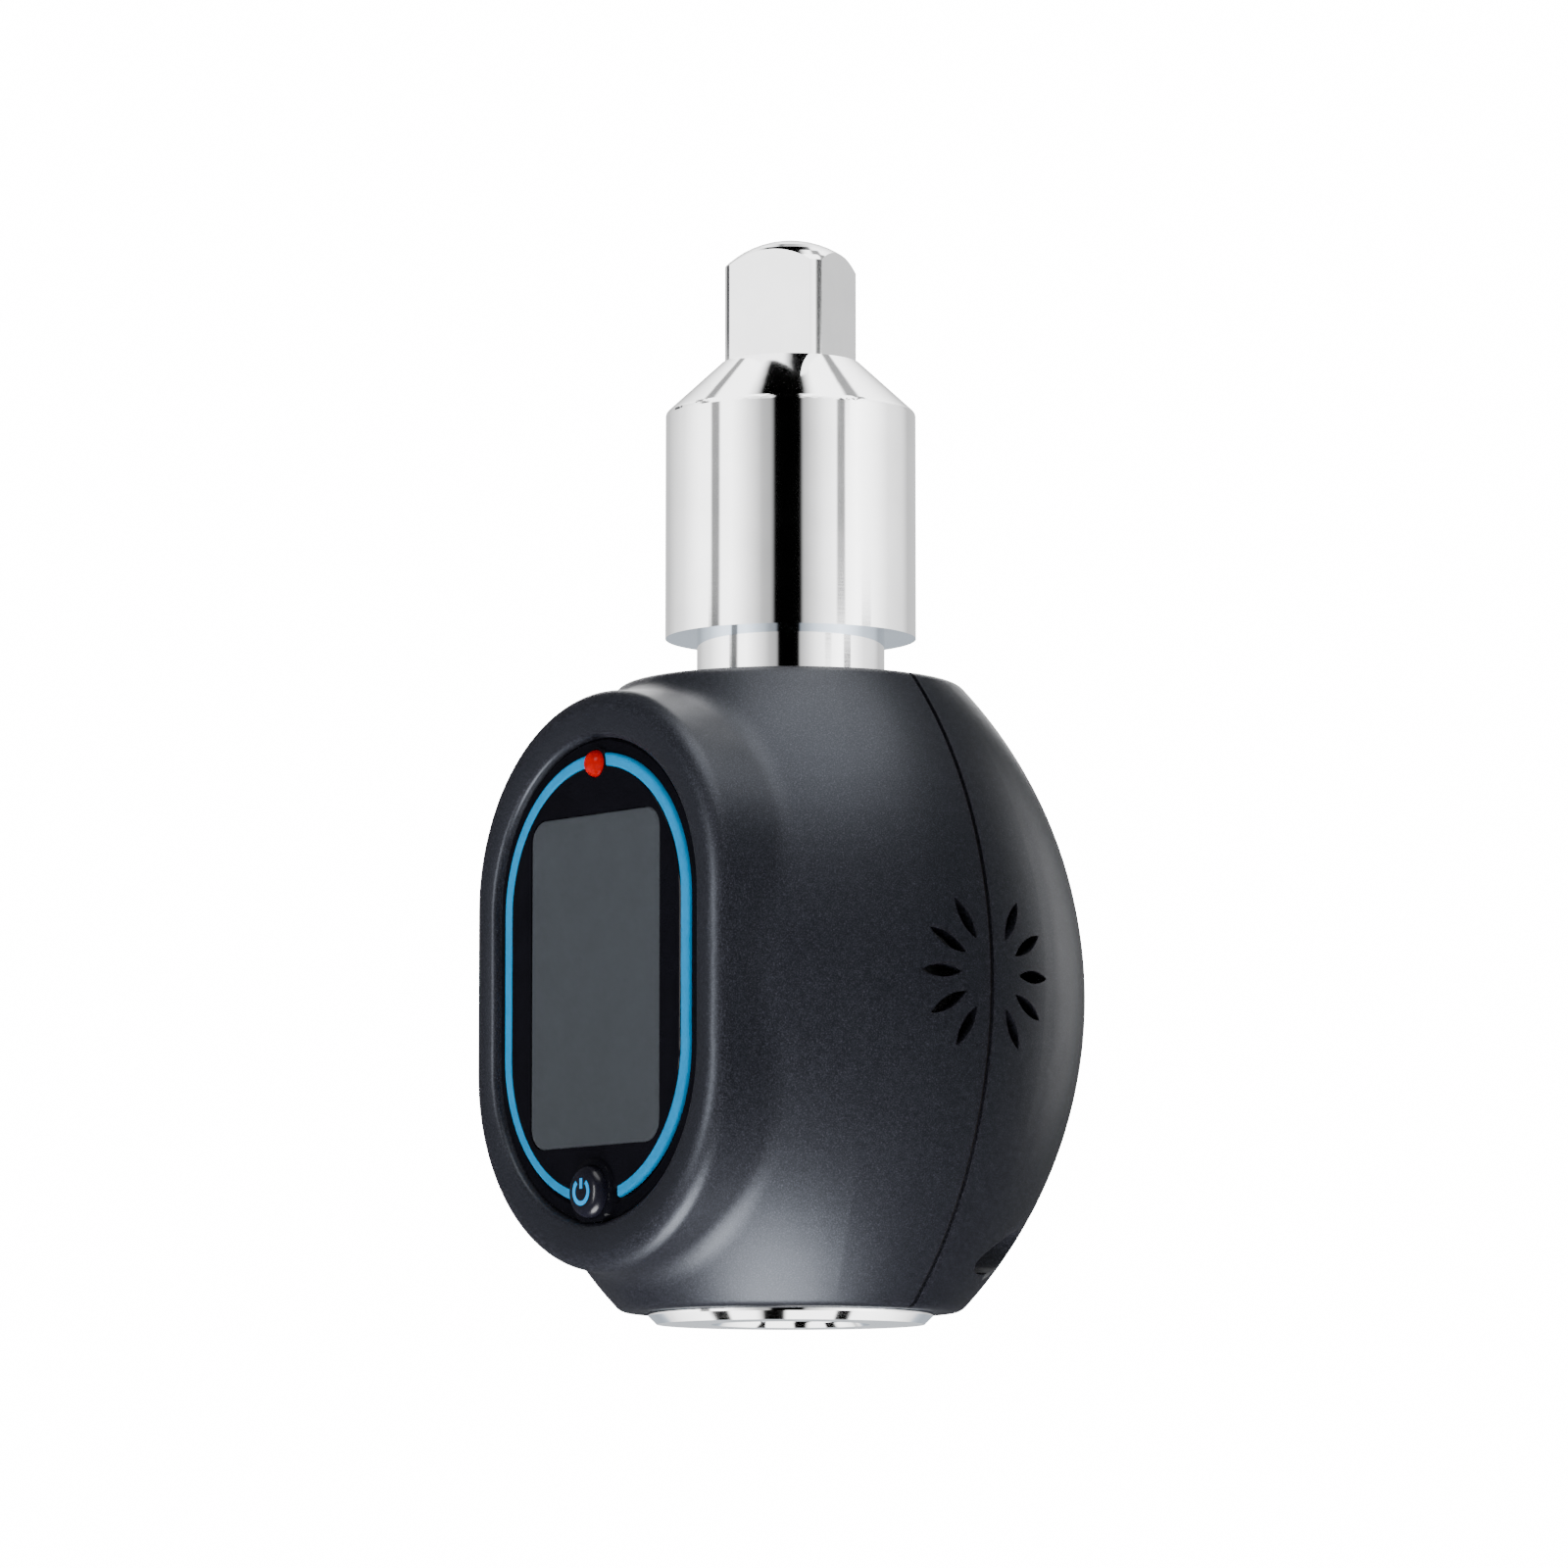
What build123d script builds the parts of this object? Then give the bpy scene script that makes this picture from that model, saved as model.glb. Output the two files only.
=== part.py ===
from build123d import *

import os
from math import cos, radians, sin, sqrt

# Digital torque adapter, in millimetres.
# The shaft axis is Z, with the origin on the end face of the female square.
# The display faces -Y, the sound slots face +X and the rear cover faces +Y.

os.makedirs("parts", exist_ok=True)

# Driving dimensions of the two square drives

drive_size = 12.7
drive_corner_diameter = 16.5
drive_length = 15.0
drive_dome_radius = 11.5
drive_turn = 28.6
socket_size = 12.85
socket_corner_radius = 0.6
socket_depth = 15.0
socket_relief_length = 3.0
socket_relief_clearance = 0.4
socket_back_wall = 6.0
socket_lead_in = 1.1
socket_drill_depth = 2.6
dimple_radius = 2.1
dimple_depth = 1.0
dimple_slope = 30.0
dimple_height = 7.5

# Driving dimensions of the shaft between them

flange_diameter = 34.0
flange_chamfer = 1.0
rim_groove_diameter = 30.0
socket_body_diameter = 33.0
taper_length = 5.0
gauge_section_diameter = 18.0
gauge_flats = 16.0
collar_diameter = 26.4
collar_length = 9.0
neck_diameter = 22.6
neck_gap = 5.7
barrel_diameter = 30.2
barrel_length = 27.3
barrel_edge_round = 0.8
cone_length = 6.2
cone_step = 0.1

# Detent ball in the male square

ball_radius = 2.0
ball_height = 7.5
ball_bore_clearance = 0.1
ball_lip_radius = 1.8
ball_lip_thickness = 0.25
ball_lip_clearance = 0.03
spring_seat = -1.5
spring_coil_radius = 1.45
spring_wire_radius = 0.25
spring_turns = 4.0

# Housing

housing_lift = 1.4
housing_margin = 7.0
end_radius = 20.2
wall = 2.2
end_wall = 3.1
end_rim_round = 2.2
parting_y = 2.0
joint_gap = 0.6
joint_setback = 0.5
rim_clearance = 0.1
bore_clearance = 0.25
collar_clearance = 0.4
seal_thickness = 0.8
band_thickness = 0.6
seal_setback = 0.2

# Display pod

window_lift = 0.7
lip_side_margin = 4.3
lip_end_margin = 5.6
lip_reach = 29.6
lip_stand = 3.76
lip_round = 2.6
lip_blend = 6.0
lip_inner_chamfer = 0.6
pod_wall = 2.4
pod_root_share = 0.6
pod_side_flare = 3.3
pod_end_flare = 0.9
ledge_thickness = 1.5

# Window bezel, ring and lens

bezel_side_margin = 1.45
bezel_end_margin = 1.65
bezel_plate = 0.8
bezel_thickness = 1.8
bezel_setback = 0.4
bezel_rim_height = 0.5
bezel_rim_chamfer = 0.35
ring_width = 36.3
ring_height = 53.7
ring_band = 1.65
ring_chamfer = 0.5
ring_clearance = 0.05
ledge_margin = 2.6
lens_side_margin = 5.55
lens_end_margin = 7.3
lens_corner = 2.6
lens_thickness = 3.4
lens_edge = 0.2
fit_clearance = 0.05
gasket_thickness = 0.3
gasket_inset = 0.1
gasket_width = 2.2

# Button and switch

button_radius = 3.05
button_proud = 1.9
button_inset = 1.9
button_round = 1.2
button_clearance = 0.1
button_flange_radius = 3.6
button_flange_thickness = 0.8
button_flange_clearance = 0.4
button_stop_gap = 0.05
button_stem_radius = 1.5
collar_rim_width = 0.8
collar_rim_height = 0.4
ring_gap_radius = 4.6
switch_size = 4.6
switch_height = 3.5
plunger_radius = 1.7
plunger_clearance = 0.08
plunger_out = 0.5
plunger_in = 0.9
plunger_bore_depth = 1.4

# Lamp

led_radius = 1.6
led_dome_round = 1.45
led_flange_radius = 1.9
led_flange_thickness = 1.0
led_length = 5.3
led_proud = 1.2
led_inset = 1.35
led_clearance = 0.1
led_collar_width = 0.3
led_gap_radius = 2.1

# Display, frame and board

lcd_side_margin = 1.4
lcd_end_margin = 1.45
lcd_thickness = 2.0
lcd_lens_gap = 0.2
frame_wall = 1.4
frame_lip_setback = 0.3
frame_side_margin = 1.2
frame_end_margin = 3.5
strip_inset = 2.0
strip_width = 2.2
strip_clearance = 0.1
strip_height = 3.3
board_thickness = 1.6
board_side_margin = 2.05
board_end_margin = 3.65
board_screw_x = 9.5
board_screw_inset = 5.6
post_radius = 2.0
board_screw_radius = 1.0
board_screw_length = 7.2
board_hole_clearance = 0.1
small_head_radius = 1.9
small_head_height = 1.2
screw_slot_width = 0.5
screw_slot_depth = 0.5

# Chips and connectors on the back of the board

controller_size = 10.0
controller_height = 1.4
controller_x = -11.0
controller_z = -2.0
amplifier_width = 6.0
amplifier_length = 5.0
amplifier_height = 1.3
amplifier_x = 11.0
amplifier_z = 7.5
crystal_width = 4.5
crystal_length = 2.0
crystal_height = 1.6
crystal_z = 12.5
ribbon_connector_length = 9.0
ribbon_connector_width = 3.0
connector_height = 1.8
ribbon_connector_rise = 6.4
lead_connector_x = 12.0
lead_connector_drop = 12.0
lead_connector_length = 5.0
lead_connector_width = 4.4
lead_connector_height = 3.2

# Strain gauges and their ribbon

gauge_width = 5.0
gauge_length = 8.0
gauge_thickness = 0.3
ribbon_width = 5.0
ribbon_thickness = 0.25
ribbon_tail = 2.0
ribbon_loop = 9.0
ribbon_bend = 2.0

# Key between shaft and housing

key_radius = 1.5
key_length = 8.0
key_embed = 4.5
key_rise = 14.0
key_clearance = 0.05
key_chamfer = 0.3
key_lug_height = 6.0
key_lug_wall = 2.0
key_lug_gap = 1.5

# Cover screws and tongues

screw_radius = 1.5
screw_x = 20.2
screw_rise = 6.9
screw_boss_radius = 3.4
screw_boss_depth = 9.0
screw_hole_clearance = 0.1
screw_head_radius = 2.6
screw_head_height = 2.2
screw_head_clearance = 0.15
screw_seat = 5.4
screw_reach = 7.0
hex_across_flats = 2.5
hex_depth = 1.2
tongue_inner = 14.0
tongue_width = 4.0
tongue_thickness = 1.8
tongue_reach = 4.5
tongue_root = 6.0
tongue_clearance = 0.1
barb_length = 1.3
barb_height = 0.8
barb_clearance = 0.2

# Sound slots and buzzer

slot_inner_radius = 4.5
slot_outer_radius = 10.0
slot_width = 1.5
slot_cut_depth = 14.0
slot_cut_start = 1.0
buzzer_radius = 8.5
buzzer_height = 4.6
buzzer_face_gap = 3.0
buzzer_port_radius = 1.2
buzzer_port_depth = 1.0
holder_wall = 1.2
holder_clearance = 0.1
holder_cup_depth = 3.0
holder_arm_width = 8.0
holder_arm_reach = 16.5
rail_thickness = 1.5
rail_length = 5.0
rail_depth = 4.0
rail_clearance = 0.1

# Batteries and their tray

cell_radius = 5.25
cell_length = 44.5
cell_cap_radius = 1.9
cell_cap_height = 0.9
cell_edge_round = 0.5
cell_x = 5.6
cell_y = 21.2
cell_spring_length = 2.3
plate_thickness = 0.3
plate_width = 8.0
cell_coil_radius = 2.6
cell_wire_radius = 0.35
cell_coil_turns = 2.0
tray_wall = 1.2
tray_clearance = 0.3
tray_back_y = 14.6
tray_lip_y = 22.8
tray_gap_height = 27.0
tray_setback = 0.3
ear_width = 6.0
ear_height = 10.0
ear_thickness = 1.6
ear_y = 20.2
tray_screw_radius = 1.0
tray_screw_length = 5.0
tray_post_radius = 2.4

# Battery leads

lead_radius = 0.55
lead_spacing = 1.6
lead_bend = 2.5
lead_reach = 11.5
lead_rise = 6.0

# Sizes worked out from the ones above

bezel_width = ring_width + 2 * bezel_side_margin
bezel_height = ring_height + 2 * bezel_end_margin
ledge_width = bezel_width - 2 * ledge_margin
lip_width = bezel_width + 2 * lip_side_margin
lip_height = bezel_height + 2 * lip_end_margin
housing_height = lip_height + housing_margin
belly_radius = sqrt((lip_reach - lip_stand) ** 2 + (lip_width / 2) ** 2)
lens_width = ring_width - 2 * lens_side_margin
lens_height = ring_height - 2 * lens_end_margin
button_drop = ring_height / 2 - button_inset
led_rise = ring_height / 2 - led_inset
lcd_width = lens_width + 2 * lcd_side_margin
lcd_height = lens_height + 2 * lcd_end_margin
frame_window_width = lcd_width - 2 * frame_side_margin
frame_window_height = lcd_height - 2 * frame_end_margin
strip_length = lcd_width - 2 * strip_inset
board_width = ring_width + 2 * board_side_margin
board_height = ring_height + 2 * board_end_margin
board_screw_z = board_height / 2 - board_screw_inset

# Heights and places worked out from the sizes above

housing_bottom_z = housing_lift
housing_top_z = housing_lift + housing_height
housing_mid_z = housing_lift + housing_height / 2
inner_bottom_z = housing_bottom_z + end_wall
inner_top_z = housing_top_z - end_wall
window_z = housing_mid_z + window_lift

half_height = housing_height / 2
belly_rise = belly_radius - end_radius
arc_radius = (half_height**2 + belly_rise**2) / (2 * belly_rise)
arc_centre = belly_radius - arc_radius

rim_z = housing_bottom_z + end_wall / 2
flange_top_z = rim_z - rim_clearance
groove_top_z = inner_bottom_z + rim_clearance
socket_body_top_z = socket_depth + socket_relief_length + socket_back_wall
gauge_low_z = socket_body_top_z + taper_length
collar_top_z = inner_top_z - collar_clearance
collar_low_z = collar_top_z - collar_length
gauge_high_z = collar_low_z - taper_length
gauge_mid_z = (gauge_low_z + gauge_high_z) / 2
barrel_low_z = housing_top_z + neck_gap
barrel_top_z = barrel_low_z + barrel_length
cone_top_z = barrel_top_z + cone_length
shaft_top_z = cone_top_z + drive_length

flange_radius = flange_diameter / 2
groove_radius = rim_groove_diameter / 2
socket_body_radius = socket_body_diameter / 2
gauge_radius = gauge_section_diameter / 2
collar_radius = collar_diameter / 2
neck_radius = neck_diameter / 2
barrel_body_radius = barrel_diameter / 2
cone_top_radius = drive_corner_diameter / 2 + cone_step
rim_hole_radius = groove_radius + band_thickness
flange_hole_radius = flange_radius + bore_clearance
neck_hole_radius = neck_radius + seal_thickness

joint_y = parting_y + joint_gap
lip_y = -lip_reach
pod_root_y = pod_root_share * lip_y
bezel_front_y = lip_y + bezel_setback
bezel_back_y = bezel_front_y + bezel_thickness
bezel_plate_y = bezel_back_y - bezel_plate
seat_y = bezel_back_y + gasket_thickness
ledge_back_y = seat_y + ledge_thickness
lens_back_y = bezel_front_y + lens_thickness
lcd_front_y = lens_back_y + lcd_lens_gap
lcd_back_y = lcd_front_y + lcd_thickness
board_front_y = lcd_back_y + strip_height
board_back_y = board_front_y + board_thickness
switch_front_y = board_front_y - switch_height
plunger_tip_y = switch_front_y - plunger_out

ball_direction = Vector(-sin(radians(drive_turn)), cos(radians(drive_turn)), 0)
ball_z = shaft_top_z - ball_height
ball_bore_radius = ball_radius + ball_bore_clearance
ball_lip_start = drive_size / 2 - ball_lip_thickness
ball_rest = ball_lip_start - ball_lip_clearance - sqrt(ball_radius**2 - ball_lip_radius**2)

screw_z = housing_bottom_z + screw_rise
screw_seat_y = joint_y + screw_seat
buzzer_y = parting_y + joint_gap / 2
buzzer_front_x = belly_radius - wall - buzzer_face_gap
buzzer_back_x = buzzer_front_x - buzzer_height
tray_inner_height = cell_length + cell_spring_length + plate_thickness
tray_low_z = housing_mid_z - tray_inner_height / 2
tray_high_z = housing_mid_z + tray_inner_height / 2
tray_side_x = cell_x + cell_radius + tray_clearance


def barrel_radius(z, inset=0.0):
    """Radius of the barrel-shaped housing at a height, moved in by an inset."""
    return arc_centre + sqrt((arc_radius - inset) ** 2 - (z - housing_mid_z) ** 2)


def barrel_section(inset, end_inset):
    """Half section of the barrel between its flat ends, moved in by two insets."""
    low = housing_bottom_z + end_inset
    high = housing_top_z - end_inset
    low_corner = (barrel_radius(low, inset), low)
    belly = (barrel_radius(housing_mid_z, inset), housing_mid_z)
    high_corner = (barrel_radius(high, inset), high)
    with BuildSketch(Plane.XZ) as section:
        with BuildLine():
            Polyline(high_corner, (0, high), (0, low), low_corner)
            ThreePointArc(low_corner, belly, high_corner)
        make_face()
    return section.sketch


def front_plane(y):
    """Plane facing the display side, centred on the window, at a distance along Y."""
    return Plane(origin=(0, y, window_z), x_dir=(1, 0, 0), z_dir=(0, -1, 0))


def side_plane(x):
    """Plane facing the sound slots, centred on them, at a distance along X."""
    return Plane(origin=(x, buzzer_y, window_z), x_dir=(0, 1, 0), z_dir=(1, 0, 0))


def back_plane(y, z):
    """Plane facing the display side, centred on the shaft axis at a height."""
    return Plane(origin=(0, y, z), x_dir=(1, 0, 0), z_dir=(0, -1, 0))


def stadium(y, width, height):
    """Upright outline with half-round ends, in a front plane."""
    with BuildSketch(front_plane(y)) as outline:
        SlotCenterToCenter(height - width, width, rotation=90)
    return outline.sketch


def ball_plane(distance):
    """Plane across the axis of the detent ball, at a distance from the shaft axis."""
    origin = Vector(0, 0, ball_z) + ball_direction * distance
    return Plane(origin=origin, x_dir=(0, 0, 1), z_dir=ball_direction)


# Torque shaft: both squares, the barrel and the measuring section in one piece

shaft_outline = [
    (0, 0),
    (flange_radius - flange_chamfer, 0),
    (flange_radius, flange_chamfer),
    (flange_radius, flange_top_z),
    (groove_radius, flange_top_z),
    (groove_radius, groove_top_z),
    (socket_body_radius, groove_top_z),
    (socket_body_radius, socket_body_top_z),
    (gauge_radius, gauge_low_z),
    (gauge_radius, gauge_high_z),
    (collar_radius, collar_low_z),
    (collar_radius, collar_top_z),
    (neck_radius, collar_top_z),
    (neck_radius, barrel_low_z),
    (barrel_body_radius, barrel_low_z),
    (barrel_body_radius, barrel_top_z),
    (cone_top_radius, cone_top_z),
    (0, cone_top_z),
]

with BuildPart() as male_square:
    with BuildSketch(Plane.XY.offset(cone_top_z)):
        Rectangle(drive_size, drive_size, rotation=drive_turn)
        Circle(drive_corner_diameter / 2, mode=Mode.INTERSECT)
    extrude(amount=drive_length)
    with Locations((0, 0, shaft_top_z - drive_dome_radius)):
        Sphere(drive_dome_radius, mode=Mode.INTERSECT)

with BuildPart() as torque_shaft:
    with BuildSketch(Plane.XZ):
        with BuildLine():
            Polyline(*shaft_outline, close=True)
        make_face()
    revolve(axis=Axis.Z)
    shoulder = torque_shaft.edges().filter_by(GeomType.CIRCLE).filter_by_position(
        Axis.Z, barrel_top_z - cone_step, barrel_top_z + cone_step
    )
    fillet(shoulder, radius=barrel_edge_round)
    add(male_square.part)
    # Female square with its broaching relief, drill point and lead-in
    with BuildSketch(Plane.XY) as socket_square:
        Rectangle(socket_size, socket_size, rotation=drive_turn)
        fillet(socket_square.vertices(), radius=socket_corner_radius)
    extrude(amount=socket_depth, mode=Mode.SUBTRACT)
    relief_radius = socket_size / sqrt(2) + socket_relief_clearance
    with BuildSketch(Plane.XY.offset(socket_depth)):
        Circle(relief_radius)
    extrude(amount=socket_relief_length, mode=Mode.SUBTRACT)
    with Locations((0, 0, socket_depth + socket_relief_length + socket_drill_depth / 2)):
        Cone(socket_size / 2, 0, socket_drill_depth, mode=Mode.SUBTRACT)
    with Locations((0, 0, socket_lead_in / 2)):
        Cone(
            relief_radius,
            relief_radius - socket_lead_in,
            socket_lead_in,
            mode=Mode.SUBTRACT,
        )
    for quarter in (0, 90, 180, 270):
        bearing = radians(drive_turn + quarter)
        outward = Vector(cos(bearing), sin(bearing), 0)
        dimple_centre = outward * (socket_size / 2) + Vector(0, 0, dimple_height)
        with BuildSketch(Plane(origin=dimple_centre, x_dir=(0, 0, 1), z_dir=outward)):
            Circle(dimple_radius)
        extrude(amount=dimple_depth, taper=dimple_slope, mode=Mode.SUBTRACT)
    # Four flats for the gauges
    with BuildSketch(Plane.XY.offset(gauge_low_z)):
        Circle(gauge_radius + gauge_thickness)
        Rectangle(gauge_flats, gauge_flats, mode=Mode.SUBTRACT)
    extrude(amount=gauge_high_z - gauge_low_z, mode=Mode.SUBTRACT)
    # Bore of the detent ball, with the lip that keeps the ball in
    with BuildSketch(ball_plane(spring_seat)):
        Circle(ball_bore_radius)
    extrude(amount=ball_lip_start - spring_seat, mode=Mode.SUBTRACT)
    with BuildSketch(ball_plane(ball_lip_start)):
        Circle(ball_lip_radius)
    extrude(amount=2 * ball_lip_thickness, mode=Mode.SUBTRACT)
    # Hole for the key pin
    key_root_x = socket_body_radius - key_embed
    with BuildSketch(Plane.YZ.offset(key_root_x)):
        with Locations((0, key_rise)):
            Circle(key_radius)
    extrude(amount=key_embed + key_clearance, mode=Mode.SUBTRACT)
torque_shaft.part.label = "torque_shaft"
export_step(torque_shaft.part, "parts/torque_shaft.step")

with BuildPart(ball_plane(ball_rest)) as detent_ball:
    Sphere(ball_radius)
detent_ball.part.label = "detent_ball"
export_step(detent_ball.part, "parts/detent_ball.step")

spring_start = spring_seat + spring_wire_radius
spring_length = ball_rest - ball_radius - spring_wire_radius - spring_start
with BuildPart() as detent_spring:
    with BuildLine() as spring_path:
        Helix(
            pitch=spring_length / spring_turns,
            height=spring_length,
            radius=spring_coil_radius,
            center=Vector(0, 0, ball_z) + ball_direction * spring_start,
            direction=ball_direction,
        )
    with BuildSketch(Plane(origin=spring_path.line @ 0, z_dir=spring_path.line % 0)):
        Circle(spring_wire_radius)
    sweep(path=spring_path.line, is_frenet=True)
detent_spring.part.label = "detent_spring"
export_step(detent_spring.part, "parts/detent_spring.step")

with BuildPart() as shaft_key:
    with BuildSketch(Plane.YZ.offset(key_root_x)):
        with Locations((0, key_rise)):
            Circle(key_radius)
    extrude(amount=key_length)
    chamfer(shaft_key.edges().group_by(Axis.X)[-1], length=key_chamfer)
shaft_key.part.label = "shaft_key"
export_step(shaft_key.part, "parts/shaft_key.step")

# Outer form of the housing: a barrel about the shaft with the display pod blended in

with BuildPart() as housing_form:
    revolve(profiles=barrel_section(0, 0), axis=Axis.Z)
    split(bisect_by=Plane.XZ.offset(-lip_y), keep=Keep.BOTTOM)
    pod_root_outline = stadium(
        pod_root_y, lip_width + 2 * pod_side_flare, lip_height + 2 * pod_end_flare
    )
    lip_outline = stadium(lip_y, lip_width, lip_height)
    loft([pod_root_outline.face(), lip_outline.face()], ruled=True)
    pod_root_edges = housing_form.edges().filter_by(
        lambda edge: edge.geom_type == GeomType.BSPLINE
        and lip_y < edge.bounding_box().min.Y
        and edge.bounding_box().max.Y < pod_root_y
    )
    fillet(pod_root_edges, radius=lip_blend)
    lip_edges = housing_form.faces().filter_by(Axis.Y).sort_by(Axis.Y)[0].edges()
    fillet(lip_edges, radius=lip_round)
    end_rims = housing_form.edges().filter_by(
        lambda edge: edge.geom_type == GeomType.CIRCLE
        and abs(edge.radius - end_radius) < rim_clearance
    )
    fillet(end_rims, radius=end_rim_round)

with BuildPart() as housing_cavity:
    revolve(profiles=barrel_section(wall, end_wall), axis=Axis.Z)
    split(bisect_by=Plane.XZ.offset(-ledge_back_y), keep=Keep.BOTTOM)
    extrude(
        stadium(pod_root_y + pod_wall, lip_width - 2 * pod_wall, lip_height - 2 * pod_wall),
        amount=pod_root_y + pod_wall - ledge_back_y,
    )

# Sound slots: pointed leaves in a ring round the middle of the joint

with BuildSketch() as slot_leaf:
    with BuildLine():
        slot_centre = (slot_inner_radius + slot_outer_radius) / 2
        ThreePointArc(
            (slot_inner_radius, 0), (slot_centre, slot_width / 2), (slot_outer_radius, 0)
        )
        ThreePointArc(
            (slot_inner_radius, 0), (slot_centre, -slot_width / 2), (slot_outer_radius, 0)
        )
    make_face()


def slot_cutter(angles):
    """Solid that cuts the sound slots at the given angles from the rearward one."""
    with BuildPart() as cutter:
        with BuildSketch(side_plane(belly_radius + slot_cut_start)):
            for angle in angles:
                add(slot_leaf.sketch, rotation=angle)
        extrude(amount=-slot_cut_depth)
    return cutter.part


rear_slot_angles = (-60, -30, 0, 30, 60)
front_slot_angles = tuple(angle + 180 for angle in rear_slot_angles)

# What stands on the inner walls of the front housing

with BuildPart() as front_inside:
    with BuildSketch(front_plane(board_front_y)):
        with GridLocations(2 * board_screw_x, 2 * board_screw_z, 2, 2):
            Circle(post_radius)
    extrude(amount=board_front_y - ledge_back_y)
    with BuildSketch(back_plane(parting_y, screw_z)):
        with GridLocations(2 * screw_x, 0, 2, 1):
            Circle(screw_boss_radius)
    extrude(amount=screw_boss_depth)
    # Lug that holds the key pin, open towards the back
    lug_start_x = socket_body_radius + key_lug_gap
    with BuildSketch(Plane.YZ.offset(lug_start_x)):
        with Locations((parting_y - key_radius - key_lug_wall, key_rise)):
            Rectangle(
                2 * (key_radius + key_lug_wall),
                key_lug_height,
            )
    extrude(amount=belly_radius - lug_start_x)
    # Rails that hold the arm of the buzzer holder
    rail_y = buzzer_y - holder_arm_reach + rail_length / 2
    rail_z = holder_arm_width / 2 + rail_clearance + rail_thickness / 2
    with BuildSketch(Plane.YZ.offset(buzzer_back_x - holder_wall - rail_depth / 2)):
        with Locations((rail_y, window_z)):
            with GridLocations(0, 2 * rail_z, 1, 2):
                Rectangle(rail_length, rail_thickness)
    extrude(amount=belly_radius - buzzer_back_x)
    add(housing_form.part, mode=Mode.INTERSECT)

with BuildPart() as front_housing:
    add(housing_form.part)
    split(bisect_by=Plane.XZ.offset(-parting_y), keep=Keep.TOP)
    add(housing_cavity.part, mode=Mode.SUBTRACT)
    add(front_inside.part)
    # Openings for the neck, the rim groove and the flange, open to the back
    with BuildSketch(Plane.XY.offset(inner_top_z - end_wall)):
        Circle(neck_hole_radius)
        with Locations((0, parting_y)):
            Rectangle(2 * neck_hole_radius, 2 * parting_y)
    extrude(amount=2 * end_wall, mode=Mode.SUBTRACT)
    with BuildSketch(Plane.XY.offset(housing_bottom_z)):
        Circle(rim_hole_radius)
        with Locations((0, parting_y)):
            Rectangle(2 * rim_hole_radius, 2 * parting_y)
    extrude(amount=end_wall, mode=Mode.SUBTRACT)
    with BuildSketch(Plane.XY.offset(housing_bottom_z)):
        Circle(flange_hole_radius)
        with Locations((0, parting_y)):
            Rectangle(2 * flange_hole_radius, 2 * parting_y)
    extrude(amount=rim_z - housing_bottom_z, mode=Mode.SUBTRACT)
    # Recess for the window bezel and the opening in its ledge
    extrude(
        stadium(seat_y, bezel_width + 2 * button_clearance, bezel_height + 2 * button_clearance),
        amount=seat_y - lip_y,
        mode=Mode.SUBTRACT,
    )
    extrude(
        stadium(
            lip_y + lip_inner_chamfer,
            bezel_width + 2 * button_clearance,
            bezel_height + 2 * button_clearance,
        ),
        amount=lip_inner_chamfer,
        taper=-45,
        mode=Mode.SUBTRACT,
    )
    ledge_height = ledge_width + bezel_height - bezel_width
    extrude(
        stadium(ledge_back_y, ledge_width, ledge_height),
        amount=ledge_thickness,
        mode=Mode.SUBTRACT,
    )
    with BuildSketch(front_plane(ledge_back_y)):
        with Locations((0, -button_drop)):
            Circle(button_flange_radius + button_flange_clearance)
        with Locations((0, led_rise)):
            Circle(led_flange_radius + led_clearance)
    extrude(amount=ledge_thickness, mode=Mode.SUBTRACT)
    # Screw holes
    with BuildSketch(front_plane(board_front_y)):
        with GridLocations(2 * board_screw_x, 2 * board_screw_z, 2, 2):
            Circle(board_screw_radius)
    extrude(amount=board_screw_length - board_thickness, mode=Mode.SUBTRACT)
    with BuildSketch(back_plane(parting_y, screw_z)):
        with GridLocations(2 * screw_x, 0, 2, 1):
            Circle(screw_radius)
    extrude(amount=screw_boss_depth - wall / 2, mode=Mode.SUBTRACT)
    # Slot for the key pin
    with BuildSketch(Plane.YZ.offset(lug_start_x)):
        with Locations((parting_y, key_rise)):
            Rectangle(
                2 * (parting_y + key_radius + key_clearance),
                2 * (key_radius + key_clearance),
            )
    extrude(amount=key_root_x + key_length + key_clearance - lug_start_x, mode=Mode.SUBTRACT)
    # Pockets for the tongues of the rear cover
    with BuildSketch(Plane.XY.offset(inner_top_z - tongue_clearance)):
        with Locations((0, parting_y - tongue_reach + barb_length / 2)):
            with GridLocations(2 * tongue_inner + tongue_width, 0, 2, 1):
                Rectangle(tongue_width + 2 * barb_clearance, barb_length + 2 * barb_clearance)
    extrude(amount=barb_height + 2 * barb_clearance, mode=Mode.SUBTRACT)
    add(slot_cutter(front_slot_angles), mode=Mode.SUBTRACT)
front_housing.part.label = "front_housing"
export_step(front_housing.part, "parts/front_housing.step")

# What stands on the inner walls of the rear cover

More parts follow.
